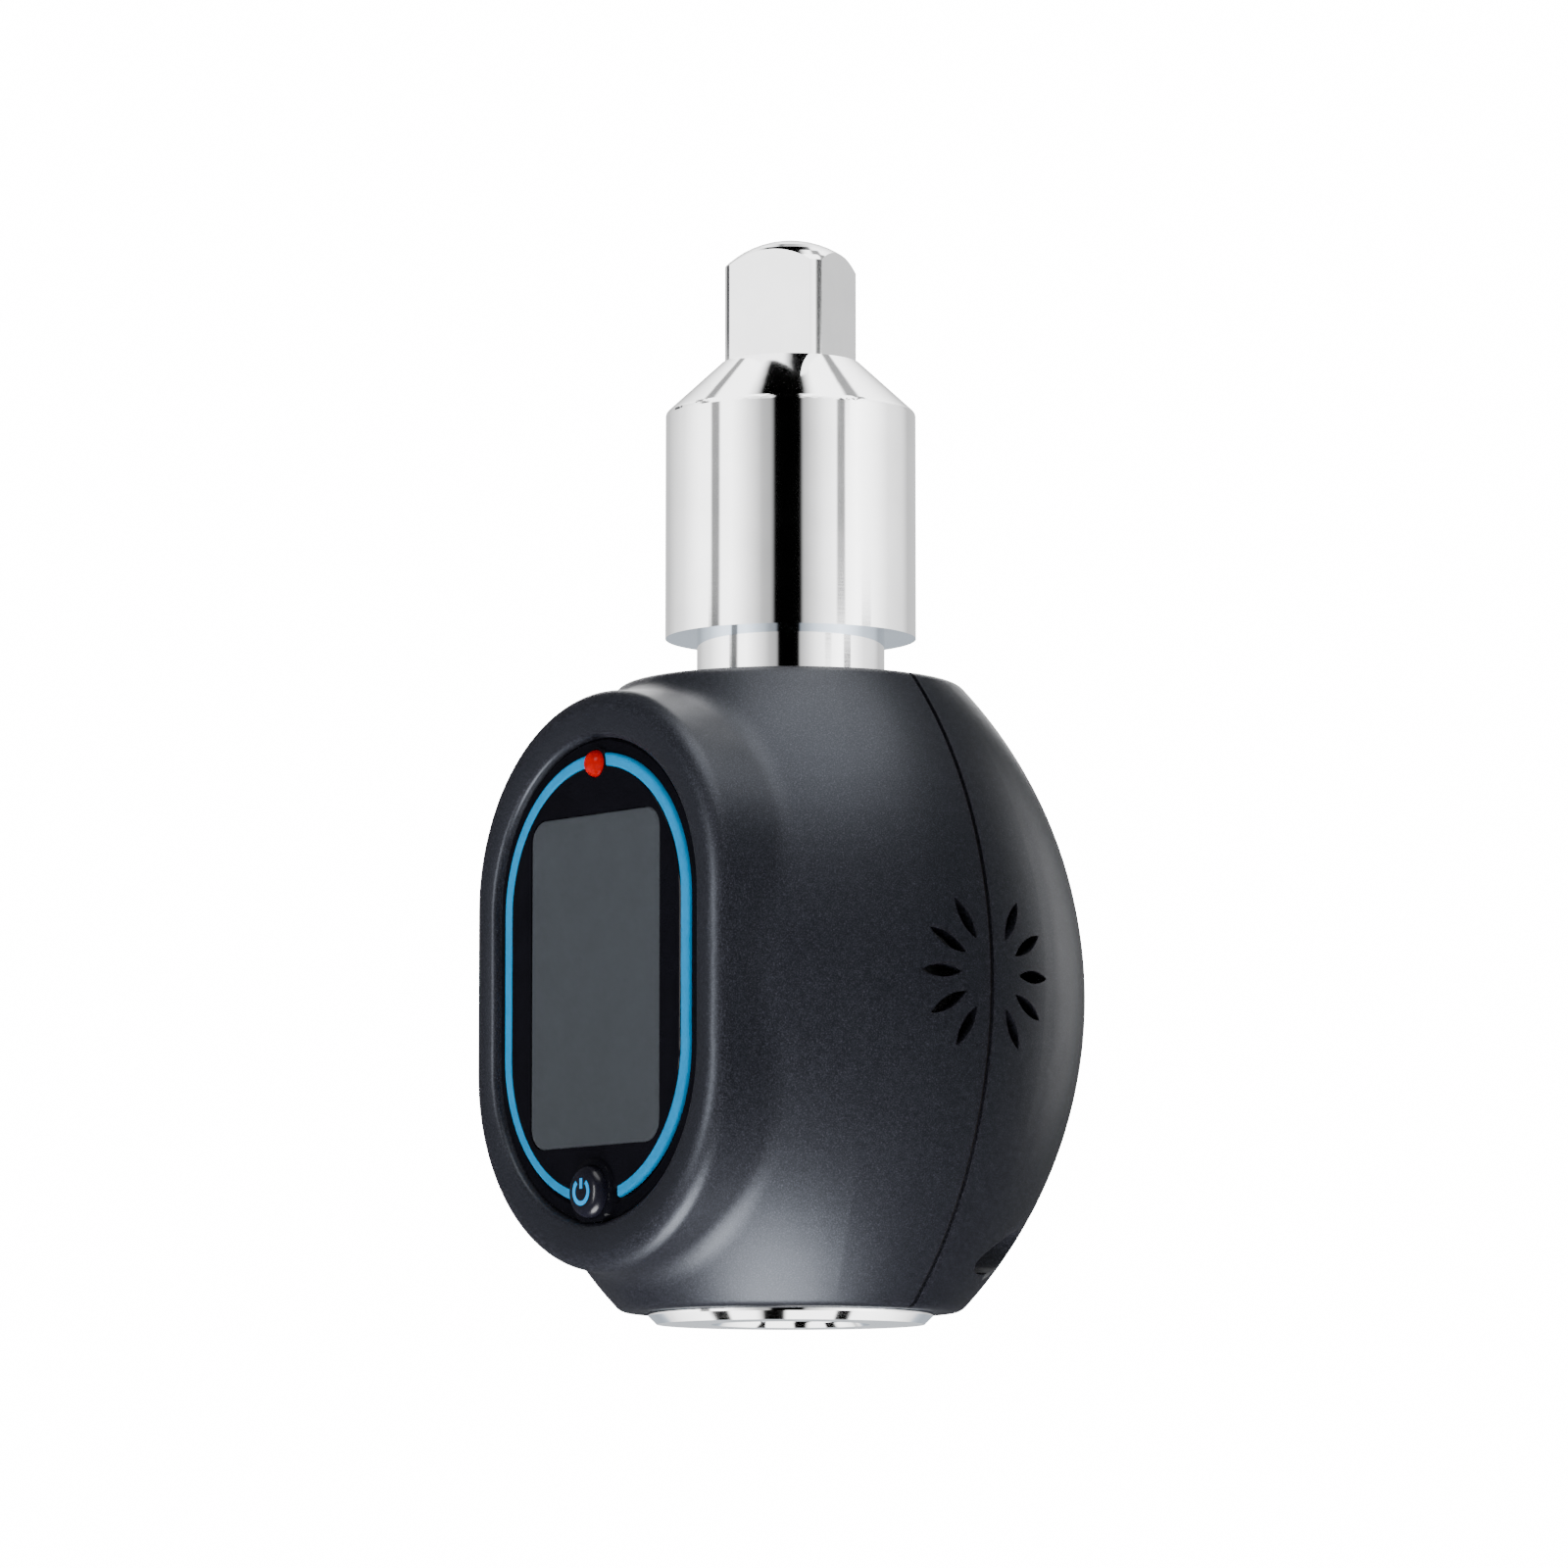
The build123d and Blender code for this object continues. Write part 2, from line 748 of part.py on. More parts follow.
with BuildPart() as rear_inside:
    with BuildSketch(back_plane(belly_radius, screw_z)):
        with GridLocations(2 * screw_x, 0, 2, 1):
            Circle(screw_boss_radius)
    extrude(amount=belly_radius - joint_y)
    ear_x = tray_side_x + tray_wall + ear_width / 2
    with BuildSketch(front_plane(belly_radius)):
        with GridLocations(2 * ear_x, 0, 2, 1):
            Circle(tray_post_radius)
    extrude(amount=belly_radius - ear_y)
    with BuildSketch(Plane.XY.offset(inner_top_z - tongue_thickness)):
        with Locations((0, joint_y + tongue_root / 2)):
            with GridLocations(2 * tongue_inner + tongue_width, 0, 2, 1):
                Rectangle(tongue_width, tongue_root)
    extrude(amount=tongue_thickness + end_wall / 2)
    add(housing_form.part, mode=Mode.INTERSECT)

with BuildPart() as rear_cover:
    add(housing_form.part)
    split(bisect_by=Plane.XZ.offset(-joint_y), keep=Keep.BOTTOM)
    add(housing_cavity.part, mode=Mode.SUBTRACT)
    add(rear_inside.part)
    # Tongues that hook under the top of the front housing, each with its barb
    tongue_y = (joint_y + parting_y - tongue_reach) / 2
    with BuildSketch(Plane.XY.offset(inner_top_z - tongue_thickness)):
        with Locations((0, tongue_y)):
            with GridLocations(2 * tongue_inner + tongue_width, 0, 2, 1):
                Rectangle(tongue_width, joint_y - parting_y + tongue_reach)
    extrude(amount=tongue_thickness - tongue_clearance)
    with BuildSketch(Plane.XY.offset(inner_top_z - tongue_clearance)):
        with Locations((0, parting_y - tongue_reach + barb_length / 2)):
            with GridLocations(2 * tongue_inner + tongue_width, 0, 2, 1):
                Rectangle(tongue_width, barb_length)
    extrude(amount=barb_height)
    with BuildSketch(Plane.XY.offset(inner_top_z - end_wall)):
        Circle(neck_hole_radius)
    extrude(amount=2 * end_wall, mode=Mode.SUBTRACT)
    with BuildSketch(Plane.XY.offset(housing_bottom_z)):
        Circle(rim_hole_radius)
    extrude(amount=end_wall, mode=Mode.SUBTRACT)
    with BuildSketch(Plane.XY.offset(housing_bottom_z)):
        Circle(flange_hole_radius)
    extrude(amount=rim_z - housing_bottom_z, mode=Mode.SUBTRACT)
    # Deep pockets for the cover screws
    with BuildSketch(back_plane(belly_radius, screw_z)):
        with GridLocations(2 * screw_x, 0, 2, 1):
            Circle(screw_head_radius + screw_head_clearance)
    extrude(amount=belly_radius - screw_seat_y, mode=Mode.SUBTRACT)
    with BuildSketch(back_plane(belly_radius, screw_z)):
        with GridLocations(2 * screw_x, 0, 2, 1):
            Circle(screw_radius + screw_hole_clearance)
    extrude(amount=belly_radius, mode=Mode.SUBTRACT)
    with BuildSketch(front_plane(ear_y + tray_screw_length - ear_thickness)):
        with GridLocations(2 * ear_x, 0, 2, 1):
            Circle(tray_screw_radius)
    extrude(amount=tray_screw_length - ear_thickness, mode=Mode.SUBTRACT)
    add(slot_cutter(rear_slot_angles), mode=Mode.SUBTRACT)
rear_cover.part.label = "rear_cover"
export_step(rear_cover.part, "parts/rear_cover.step")

# Gasket in the joint, set back from the outer faces

with BuildPart() as cover_gasket:
    revolve(profiles=barrel_section(joint_setback, joint_setback), axis=Axis.Z)
    revolve(profiles=barrel_section(wall, end_wall), axis=Axis.Z, mode=Mode.SUBTRACT)
    with BuildSketch(back_plane(joint_y, housing_mid_z)):
        Rectangle(2 * belly_radius, 2 * housing_height)
    extrude(amount=joint_gap, mode=Mode.INTERSECT)
    for low, radius, height in (
        (inner_top_z - end_wall, neck_hole_radius, 2 * end_wall),
        (housing_bottom_z, rim_hole_radius, end_wall),
        (0, flange_hole_radius, rim_z),
    ):
        with BuildSketch(Plane.XY.offset(low)):
            Circle(radius)
        extrude(amount=height, mode=Mode.SUBTRACT)
    with BuildSketch(Plane.XY.offset(inner_top_z - tongue_thickness)):
        with Locations((0, buzzer_y)):
            with GridLocations(2 * tongue_inner + tongue_width, 0, 2, 1):
                Rectangle(tongue_width + barb_clearance, 2 * joint_gap)
    extrude(amount=tongue_thickness - tongue_clearance, mode=Mode.SUBTRACT)
cover_gasket.part.label = "cover_gasket"
export_step(cover_gasket.part, "parts/cover_gasket.step")

with BuildPart() as cover_screws:
    with BuildSketch(back_plane(screw_seat_y, screw_z)):
        with GridLocations(2 * screw_x, 0, 2, 1):
            Circle(screw_radius)
    extrude(amount=screw_seat_y - parting_y + screw_reach)
    with BuildSketch(back_plane(screw_seat_y + screw_head_height, screw_z)):
        with GridLocations(2 * screw_x, 0, 2, 1):
            Circle(screw_head_radius)
    extrude(amount=screw_head_height)
    with BuildSketch(back_plane(screw_seat_y + screw_head_height, screw_z)):
        with GridLocations(2 * screw_x, 0, 2, 1):
            RegularPolygon(hex_across_flats / 2, 6, major_radius=False)
    extrude(amount=hex_depth, mode=Mode.SUBTRACT)
cover_screws.part.label = "cover_screws"
export_step(cover_screws.part, "parts/cover_screws.step")

# Seals round the shaft

with BuildPart() as neck_seal:
    with BuildSketch(Plane.XY.offset(inner_top_z)):
        Circle(neck_hole_radius)
        Circle(neck_radius, mode=Mode.SUBTRACT)
    extrude(amount=end_wall - seal_setback)
neck_seal.part.label = "neck_seal"
export_step(neck_seal.part, "parts/neck_seal.step")

with BuildPart() as socket_seal:
    with BuildSketch(Plane.XY.offset(rim_z)):
        Circle(rim_hole_radius)
        Circle(groove_radius, mode=Mode.SUBTRACT)
    extrude(amount=inner_bottom_z - rim_z)
socket_seal.part.label = "socket_seal"
export_step(socket_seal.part, "parts/socket_seal.step")

# Window: gloss bezel, clear lens, blue ring and the gasket under them

ring_inner_width = ring_width - 2 * ring_band
ring_inner_height = ring_height - 2 * ring_band

with BuildPart() as window_bezel:
    extrude(stadium(bezel_back_y, bezel_width, bezel_height), amount=bezel_plate)
    extrude(
        stadium(bezel_plate_y, ring_inner_width - 2 * ring_clearance,
                ring_inner_height - 2 * ring_clearance),
        amount=bezel_thickness - bezel_plate,
    )
    with BuildSketch(front_plane(bezel_plate_y)):
        SlotCenterToCenter(bezel_height - bezel_width, bezel_width, rotation=90)
        SlotCenterToCenter(
            ring_height - ring_width,
            ring_width + 2 * ring_clearance,
            rotation=90,
            mode=Mode.SUBTRACT,
        )
    extrude(amount=bezel_rim_height)
    rim_face = window_bezel.faces().filter_by(Axis.Y).sort_by(Axis.Y)[1]
    chamfer(rim_face.outer_wire().edges(), length=bezel_rim_chamfer)
    # Collars round the button and the lamp
    with BuildSketch(front_plane(bezel_plate_y)):
        with Locations((0, -button_drop)):
            Circle(button_radius + button_clearance + collar_rim_width)
        SlotCenterToCenter(
            bezel_height - bezel_width, bezel_width, rotation=90, mode=Mode.INTERSECT
        )
    extrude(amount=bezel_thickness - bezel_plate + collar_rim_height)
    with BuildSketch(front_plane(bezel_plate_y)):
        with Locations((0, led_rise)):
            Circle(led_radius + led_clearance + led_collar_width)
    extrude(amount=bezel_thickness - bezel_plate)
    with BuildSketch(front_plane(bezel_back_y)) as bezel_openings:
        RectangleRounded(
            lens_width + 2 * fit_clearance,
            lens_height + 2 * fit_clearance,
            lens_corner + fit_clearance,
        )
        with Locations((0, -button_drop)):
            Circle(button_radius + button_clearance)
        with Locations((0, led_rise)):
            Circle(led_radius + led_clearance)
    extrude(amount=2 * bezel_thickness, mode=Mode.SUBTRACT)
window_bezel.part.label = "window_bezel"
export_step(window_bezel.part, "parts/window_bezel.step")

with BuildPart() as accent_ring:
    with BuildSketch(front_plane(bezel_plate_y)):
        SlotCenterToCenter(ring_height - ring_width, ring_width, rotation=90)
        SlotCenterToCenter(
            ring_height - ring_width, ring_inner_width, rotation=90, mode=Mode.SUBTRACT
        )
    extrude(amount=bezel_thickness - bezel_plate)
    ring_face = accent_ring.faces().filter_by(Axis.Y).sort_by(Axis.Y)[0]
    chamfer(ring_face.outer_wire().edges(), length=ring_chamfer)
    with BuildSketch(front_plane(bezel_plate_y)):
        with Locations((0, -button_drop)):
            Circle(ring_gap_radius)
        with Locations((0, led_rise)):
            Circle(led_gap_radius)
    extrude(amount=bezel_thickness, mode=Mode.SUBTRACT)
accent_ring.part.label = "accent_ring"
export_step(accent_ring.part, "parts/accent_ring.step")

with BuildPart() as display_lens:
    with BuildSketch(front_plane(lens_back_y)):
        RectangleRounded(lens_width, lens_height, lens_corner)
    extrude(amount=lens_thickness)
    chamfer(display_lens.faces().filter_by(Axis.Y).sort_by(Axis.Y)[0].edges(), length=lens_edge)
display_lens.part.label = "display_lens"
export_step(display_lens.part, "parts/display_lens.step")

with BuildPart() as window_gasket:
    with BuildSketch(front_plane(seat_y)):
        SlotCenterToCenter(bezel_height - bezel_width, bezel_width - 2 * gasket_inset, rotation=90)
        SlotCenterToCenter(
            bezel_height - bezel_width,
            bezel_width - 2 * gasket_inset - 2 * gasket_width,
            rotation=90,
            mode=Mode.SUBTRACT,
        )
        with Locations((0, -button_drop)):
            Circle(button_flange_radius + button_flange_clearance, mode=Mode.SUBTRACT)
        with Locations((0, led_rise)):
            Circle(led_flange_radius + led_clearance, mode=Mode.SUBTRACT)
    extrude(amount=gasket_thickness)
window_gasket.part.label = "window_gasket"
export_step(window_gasket.part, "parts/window_gasket.step")

# Button, switch and lamp

button_flange_y = bezel_back_y + button_stop_gap
with BuildPart() as mode_button:
    with BuildSketch(front_plane(button_flange_y)):
        with Locations((0, -button_drop)):
            Circle(button_radius)
    extrude(amount=button_flange_y - bezel_front_y + button_proud)
    fillet(mode_button.faces().filter_by(Axis.Y).sort_by(Axis.Y)[0].edges(), radius=button_round)
    with BuildSketch(front_plane(button_flange_y + button_flange_thickness)):
        with Locations((0, -button_drop)):
            Circle(button_flange_radius)
    extrude(amount=button_flange_thickness)
    with BuildSketch(front_plane(plunger_tip_y)):
        with Locations((0, -button_drop)):
            Circle(button_stem_radius)
    extrude(amount=plunger_tip_y - button_flange_y - button_flange_thickness)
mode_button.part.label = "mode_button"
export_step(mode_button.part, "parts/mode_button.step")

with BuildPart() as switch_body:
    with BuildSketch(front_plane(board_front_y)):
        with Locations((0, -button_drop)):
            Rectangle(switch_size, switch_size)
    extrude(amount=switch_height)
    with BuildSketch(front_plane(switch_front_y + plunger_bore_depth)):
        with Locations((0, -button_drop)):
            Circle(plunger_radius + plunger_clearance)
    extrude(amount=plunger_bore_depth, mode=Mode.SUBTRACT)
switch_body.part.label = "switch_body"
export_step(switch_body.part, "parts/switch_body.step")

with BuildPart() as switch_plunger:
    with BuildSketch(front_plane(switch_front_y + plunger_in)):
        with Locations((0, -button_drop)):
            Circle(plunger_radius)
    extrude(amount=plunger_in + plunger_out)
switch_plunger.part.label = "switch_plunger"
export_step(switch_plunger.part, "parts/switch_plunger.step")

led_base_y = bezel_front_y - led_proud + led_length
with BuildPart() as status_led:
    with BuildSketch(front_plane(led_base_y)):
        with Locations((0, led_rise)):
            Circle(led_radius)
    extrude(amount=led_length)
    fillet(status_led.faces().filter_by(Axis.Y).sort_by(Axis.Y)[0].edges(), radius=led_dome_round)
    with BuildSketch(front_plane(led_base_y)):
        with Locations((0, led_rise)):
            Circle(led_flange_radius)
    extrude(amount=led_flange_thickness)
status_led.part.label = "status_led"
export_step(status_led.part, "parts/status_led.step")

with BuildPart() as led_spacer:
    with BuildSketch(front_plane(board_front_y)):
        with Locations((0, led_rise)):
            Circle(led_flange_radius)
    extrude(amount=board_front_y - led_base_y)
led_spacer.part.label = "led_spacer"
export_step(led_spacer.part, "parts/led_spacer.step")

# Display glass, its frame and the contact strips

with BuildPart() as lcd_glass:
    with BuildSketch(front_plane(lcd_back_y)):
        Rectangle(lcd_width, lcd_height)
    extrude(amount=lcd_thickness)
lcd_glass.part.label = "lcd_glass"
export_step(lcd_glass.part, "parts/lcd_glass.step")

strip_z = (frame_window_height + strip_width) / 2 + frame_wall - strip_clearance
with BuildPart() as lcd_frame:
    with BuildSketch(front_plane(board_front_y)):
        Rectangle(lcd_width + 2 * frame_wall, lcd_height + 2 * frame_wall)
        Rectangle(frame_window_width, frame_window_height, mode=Mode.SUBTRACT)
        with GridLocations(0, 2 * strip_z, 1, 2):
            Rectangle(
                strip_length + 2 * strip_clearance,
                strip_width + 2 * strip_clearance,
                mode=Mode.SUBTRACT,
            )
    extrude(amount=board_front_y - lcd_front_y - frame_lip_setback)
    with BuildSketch(front_plane(lcd_back_y)):
        Rectangle(lcd_width + 2 * fit_clearance, lcd_height + 2 * fit_clearance)
    extrude(amount=lcd_thickness, mode=Mode.SUBTRACT)
lcd_frame.part.label = "lcd_frame"
export_step(lcd_frame.part, "parts/lcd_frame.step")

with BuildPart() as lcd_connectors:
    with BuildSketch(front_plane(board_front_y)):
        with GridLocations(0, 2 * strip_z, 1, 2):
            Rectangle(strip_length, strip_width)
    extrude(amount=board_front_y - lcd_back_y)
lcd_connectors.part.label = "lcd_connectors"
export_step(lcd_connectors.part, "parts/lcd_connectors.step")

# Main board with its chips, connectors and screws

with BuildPart() as main_board:
    with BuildSketch(front_plane(board_back_y)):
        SlotCenterToCenter(board_height - board_width, board_width, rotation=90)
        with GridLocations(2 * board_screw_x, 2 * board_screw_z, 2, 2):
            Circle(board_screw_radius + board_hole_clearance, mode=Mode.SUBTRACT)
    extrude(amount=board_thickness)
main_board.part.label = "main_board"
export_step(main_board.part, "parts/main_board.step")

with BuildPart() as board_chips:
    with BuildSketch(front_plane(board_back_y + controller_height)):
        with Locations((controller_x, controller_z)):
            Rectangle(controller_size, controller_size)
    extrude(amount=controller_height)
    with BuildSketch(front_plane(board_back_y + amplifier_height)):
        with Locations((amplifier_x, amplifier_z)):
            Rectangle(amplifier_width, amplifier_length)
    extrude(amount=amplifier_height)
    with BuildSketch(front_plane(board_back_y + crystal_height)):
        with Locations((controller_x, crystal_z)):
            SlotOverall(crystal_width, crystal_length)
    extrude(amount=crystal_height)
board_chips.part.label = "board_chips"
export_step(board_chips.part, "parts/board_chips.step")

with BuildPart() as ribbon_connector:
    with BuildSketch(front_plane(board_back_y + connector_height)):
        with Locations((0, ribbon_connector_rise)):
            Rectangle(ribbon_connector_length, ribbon_connector_width)
    extrude(amount=connector_height)
ribbon_connector.part.label = "ribbon_connector"
export_step(ribbon_connector.part, "parts/ribbon_connector.step")

with BuildPart() as lead_connector:
    with BuildSketch(front_plane(board_back_y + lead_connector_height)):
        with Locations((lead_connector_x, -lead_connector_drop)):
            Rectangle(lead_connector_length, lead_connector_width)
    extrude(amount=lead_connector_height)
lead_connector.part.label = "lead_connector"
export_step(lead_connector.part, "parts/lead_connector.step")

with BuildPart() as board_screws:
    with BuildSketch(front_plane(board_back_y + small_head_height)):
        with GridLocations(2 * board_screw_x, 2 * board_screw_z, 2, 2):
            Circle(small_head_radius)
    extrude(amount=small_head_height)
    with BuildSketch(front_plane(board_back_y)):
        with GridLocations(2 * board_screw_x, 2 * board_screw_z, 2, 2):
            Circle(board_screw_radius)
    extrude(amount=board_screw_length)
    with BuildSketch(front_plane(board_back_y + small_head_height)):
        with GridLocations(2 * board_screw_x, 2 * board_screw_z, 2, 2):
            Rectangle(2 * small_head_radius, screw_slot_width)
    extrude(amount=screw_slot_depth, mode=Mode.SUBTRACT)
board_screws.part.label = "board_screws"
export_step(board_screws.part, "parts/board_screws.step")

# Strain gauges on the four flats, and the ribbon from the front one to the board

with BuildPart() as strain_gauges:
    for turn in (0, 90, 180, 270):
        outward = Vector(cos(radians(turn)), sin(radians(turn)), 0)
        gauge_centre = outward * (gauge_flats / 2) + Vector(0, 0, gauge_mid_z)
        with BuildSketch(Plane(origin=gauge_centre, x_dir=(0, 0, 1), z_dir=outward)):
            Rectangle(gauge_length, gauge_width)
        extrude(amount=gauge_thickness)
strain_gauges.part.label = "strain_gauges"
export_step(strain_gauges.part, "parts/strain_gauges.step")

ribbon_start_y = -gauge_flats / 2 - gauge_thickness - ribbon_thickness / 2
ribbon_end_y = board_back_y + connector_height / 2
ribbon_end_z = window_z + ribbon_connector_rise + ribbon_connector_width / 2
ribbon_top_z = ribbon_end_z + ribbon_loop
with BuildPart() as gauge_ribbon:
    with BuildSketch(Plane.YZ):
        with BuildLine():
            FilletPolyline(
                (ribbon_start_y, gauge_mid_z - ribbon_tail),
                (ribbon_start_y, ribbon_top_z - ribbon_bend),
                ((ribbon_start_y + ribbon_end_y) / 2, ribbon_top_z),
                (ribbon_end_y, ribbon_top_z - ribbon_bend),
                (ribbon_end_y, ribbon_end_z),
                radius=ribbon_bend,
            )
        trace(line_width=ribbon_thickness)
    extrude(amount=ribbon_width / 2, both=True)
gauge_ribbon.part.label = "gauge_ribbon"
export_step(gauge_ribbon.part, "parts/gauge_ribbon.step")

# Buzzer behind the sound slots, in a cup on an arm

with BuildPart() as buzzer:
    with BuildSketch(side_plane(buzzer_back_x)):
        Circle(buzzer_radius)
    extrude(amount=buzzer_height)
    with BuildSketch(side_plane(buzzer_front_x)):
        Circle(buzzer_port_radius)
    extrude(amount=-buzzer_port_depth, mode=Mode.SUBTRACT)
buzzer.part.label = "buzzer"
export_step(buzzer.part, "parts/buzzer.step")

with BuildPart() as buzzer_holder:
    with BuildSketch(side_plane(buzzer_back_x - holder_wall)):
        Circle(buzzer_radius + holder_clearance + holder_wall)
        with Locations((-holder_arm_reach / 2, 0)):
            Rectangle(holder_arm_reach, holder_arm_width)
    extrude(amount=holder_wall)
    with BuildSketch(side_plane(buzzer_back_x)):
        Circle(buzzer_radius + holder_clearance + holder_wall)
        Circle(buzzer_radius + holder_clearance, mode=Mode.SUBTRACT)
    extrude(amount=holder_cup_depth)
buzzer_holder.part.label = "buzzer_holder"
export_step(buzzer_holder.part, "parts/buzzer_holder.step")

# Battery tray behind the shaft, with its cells and contacts

with BuildPart() as battery_tray:
    tray_width = 2 * (tray_side_x + tray_wall)
    tray_height = tray_high_z - tray_low_z + 2 * tray_wall
    with BuildSketch(back_plane(tray_lip_y, housing_mid_z)):
        Rectangle(tray_width, tray_height)
    extrude(amount=tray_lip_y - tray_back_y)
    with BuildSketch(back_plane(tray_lip_y, housing_mid_z)):
        Rectangle(2 * tray_side_x, tray_high_z - tray_low_z)
    extrude(amount=tray_lip_y - tray_back_y - tray_wall, mode=Mode.SUBTRACT)
    # The floor is left out beside the wide socket body
    with BuildSketch(Plane.XY):
        Circle(socket_body_radius + tray_setback)
    extrude(amount=tray_gap_height, mode=Mode.SUBTRACT)
    with BuildSketch(front_plane(ear_y)):
        with GridLocations(2 * ear_x, 0, 2, 1):
            Rectangle(ear_width, ear_height)
    extrude(amount=ear_thickness)
    with BuildSketch(front_plane(ear_y)):
        with GridLocations(2 * ear_x, 0, 2, 1):
            Circle(tray_screw_radius + board_hole_clearance)
    extrude(amount=ear_thickness, mode=Mode.SUBTRACT)
battery_tray.part.label = "battery_tray"
export_step(battery_tray.part, "parts/battery_tray.step")

with BuildPart() as tray_screws:
    head_y = ear_y - ear_thickness
    with BuildSketch(front_plane(head_y)):
        with GridLocations(2 * ear_x, 0, 2, 1):
            Circle(small_head_radius)
    extrude(amount=small_head_height)
    with BuildSketch(front_plane(head_y + tray_screw_length)):
        with GridLocations(2 * ear_x, 0, 2, 1):
            Circle(tray_screw_radius)
    extrude(amount=tray_screw_length)
    with BuildSketch(front_plane(head_y - small_head_height + screw_slot_depth)):
        with GridLocations(2 * ear_x, 0, 2, 1):
            Rectangle(2 * small_head_radius, screw_slot_width)
    extrude(amount=screw_slot_depth, mode=Mode.SUBTRACT)
tray_screws.part.label = "tray_screws"
export_step(tray_screws.part, "parts/tray_screws.step")


def cell(x, base_z, points_up):
    """One dry cell standing in the tray, its cap up or down."""
    body_length = cell_length - cell_cap_height
    body_z = base_z if points_up else base_z + cell_cap_height
    cap_z = base_z + body_length if points_up else base_z
    with BuildPart() as one_cell:
        with BuildSketch(Plane((x, cell_y, body_z))):
            Circle(cell_radius)
        extrude(amount=body_length)
        fillet(one_cell.edges().filter_by(GeomType.CIRCLE), radius=cell_edge_round)
        with BuildSketch(Plane((x, cell_y, cap_z))):
            Circle(cell_cap_radius)
        extrude(amount=cell_cap_height)
    return one_cell.part


upright_cell_z = tray_high_z - plate_thickness - cell_length
turned_cell_z = tray_low_z + plate_thickness

with BuildPart() as batteries:
    add(cell(cell_x, upright_cell_z, True))
    add(cell(-cell_x, turned_cell_z, False))
batteries.part.label = "batteries"
export_step(batteries.part, "parts/batteries.step")

with BuildPart() as battery_plates:
    with BuildSketch(Plane.XY.offset(tray_high_z - plate_thickness)):
        with Locations((0, cell_y)):
            Rectangle(2 * cell_x + plate_width, plate_width / 2)
    extrude(amount=plate_thickness)
    with BuildSketch(Plane.XY.offset(tray_low_z)):
        with Locations((0, cell_y)):
            with GridLocations(2 * cell_x, 0, 2, 1):
                Rectangle(plate_width, plate_width / 2)
    extrude(amount=plate_thickness)
battery_plates.part.label = "battery_plates"
export_step(battery_plates.part, "parts/battery_plates.step")


def contact_coil(x, start_z, length):
    """One contact spring between a plate and the flat end of a cell."""
    with BuildPart() as coil:
        with BuildLine() as coil_path:
            Helix(
                pitch=length / cell_coil_turns,
                height=length,
                radius=cell_coil_radius,
                center=(x, cell_y, start_z),
            )
        with BuildSketch(Plane(origin=coil_path.line @ 0, z_dir=coil_path.line % 0)):
            Circle(cell_wire_radius)
        sweep(path=coil_path.line, is_frenet=True)
    return coil.part


low_coil_start = tray_low_z + plate_thickness + cell_wire_radius
low_coil_length = upright_cell_z - cell_wire_radius - low_coil_start
high_coil_start = turned_cell_z + cell_length + cell_wire_radius
high_coil_length = tray_high_z - plate_thickness - cell_wire_radius - high_coil_start

with BuildPart() as battery_springs:
    add(contact_coil(cell_x, low_coil_start, low_coil_length))
    add(contact_coil(-cell_x, high_coil_start, high_coil_length))
battery_springs.part.label = "battery_springs"
export_step(battery_springs.part, "parts/battery_springs.step")

# Two leads from the tray's foot round the shaft to the board

lead_end_y = board_back_y + lead_connector_height
lead_level_z = window_z - lead_connector_drop


def battery_lead(side):
    """One lead, above or below its twin."""
    level = lead_level_z + side * lead_spacing / 2
    start_x = tray_side_x + tray_wall
    with BuildPart() as lead:
        with BuildLine() as lead_path:
            FilletPolyline(
                (start_x, cell_y - lead_bend, level - lead_rise),
                (start_x + lead_reach / 2, cell_y - lead_bend, level - lead_rise),
                (start_x + lead_reach, lead_reach / 2, level),
                (start_x + lead_reach, -lead_reach / 2, level),
                (lead_connector_x, -lead_reach, level),
                (lead_connector_x, lead_end_y, level),
                radius=lead_bend,
            )
        with BuildSketch(Plane(origin=lead_path.line @ 0, z_dir=lead_path.line % 0)):
            Circle(lead_radius)
        sweep(path=lead_path.line)
    return lead.part


with BuildPart() as battery_leads:
    add(battery_lead(1))
    add(battery_lead(-1))
battery_leads.part.label = "battery_leads"
export_step(battery_leads.part, "parts/battery_leads.step")
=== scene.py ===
import logging
from collections.abc import Iterator
from contextlib import contextmanager
from dataclasses import dataclass
from enum import Enum
from math import cos, pi, radians, sin, sqrt

import bmesh
import bpy
from mathutils import Matrix, Vector


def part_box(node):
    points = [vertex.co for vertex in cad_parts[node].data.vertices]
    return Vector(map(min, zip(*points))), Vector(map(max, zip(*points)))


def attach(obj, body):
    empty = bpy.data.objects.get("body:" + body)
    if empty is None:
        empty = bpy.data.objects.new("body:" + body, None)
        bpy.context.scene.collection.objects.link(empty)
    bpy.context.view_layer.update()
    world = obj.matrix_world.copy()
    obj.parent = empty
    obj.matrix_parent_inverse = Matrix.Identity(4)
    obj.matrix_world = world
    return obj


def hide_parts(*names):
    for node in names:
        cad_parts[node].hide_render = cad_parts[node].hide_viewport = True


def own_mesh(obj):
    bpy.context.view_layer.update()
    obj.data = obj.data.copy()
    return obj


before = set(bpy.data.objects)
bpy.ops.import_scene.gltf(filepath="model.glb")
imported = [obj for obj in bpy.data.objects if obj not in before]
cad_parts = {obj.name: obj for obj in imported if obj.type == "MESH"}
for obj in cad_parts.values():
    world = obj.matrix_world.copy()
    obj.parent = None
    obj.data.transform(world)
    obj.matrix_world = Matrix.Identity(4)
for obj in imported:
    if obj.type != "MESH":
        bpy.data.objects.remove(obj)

log = logging.getLogger("torque_adapter")

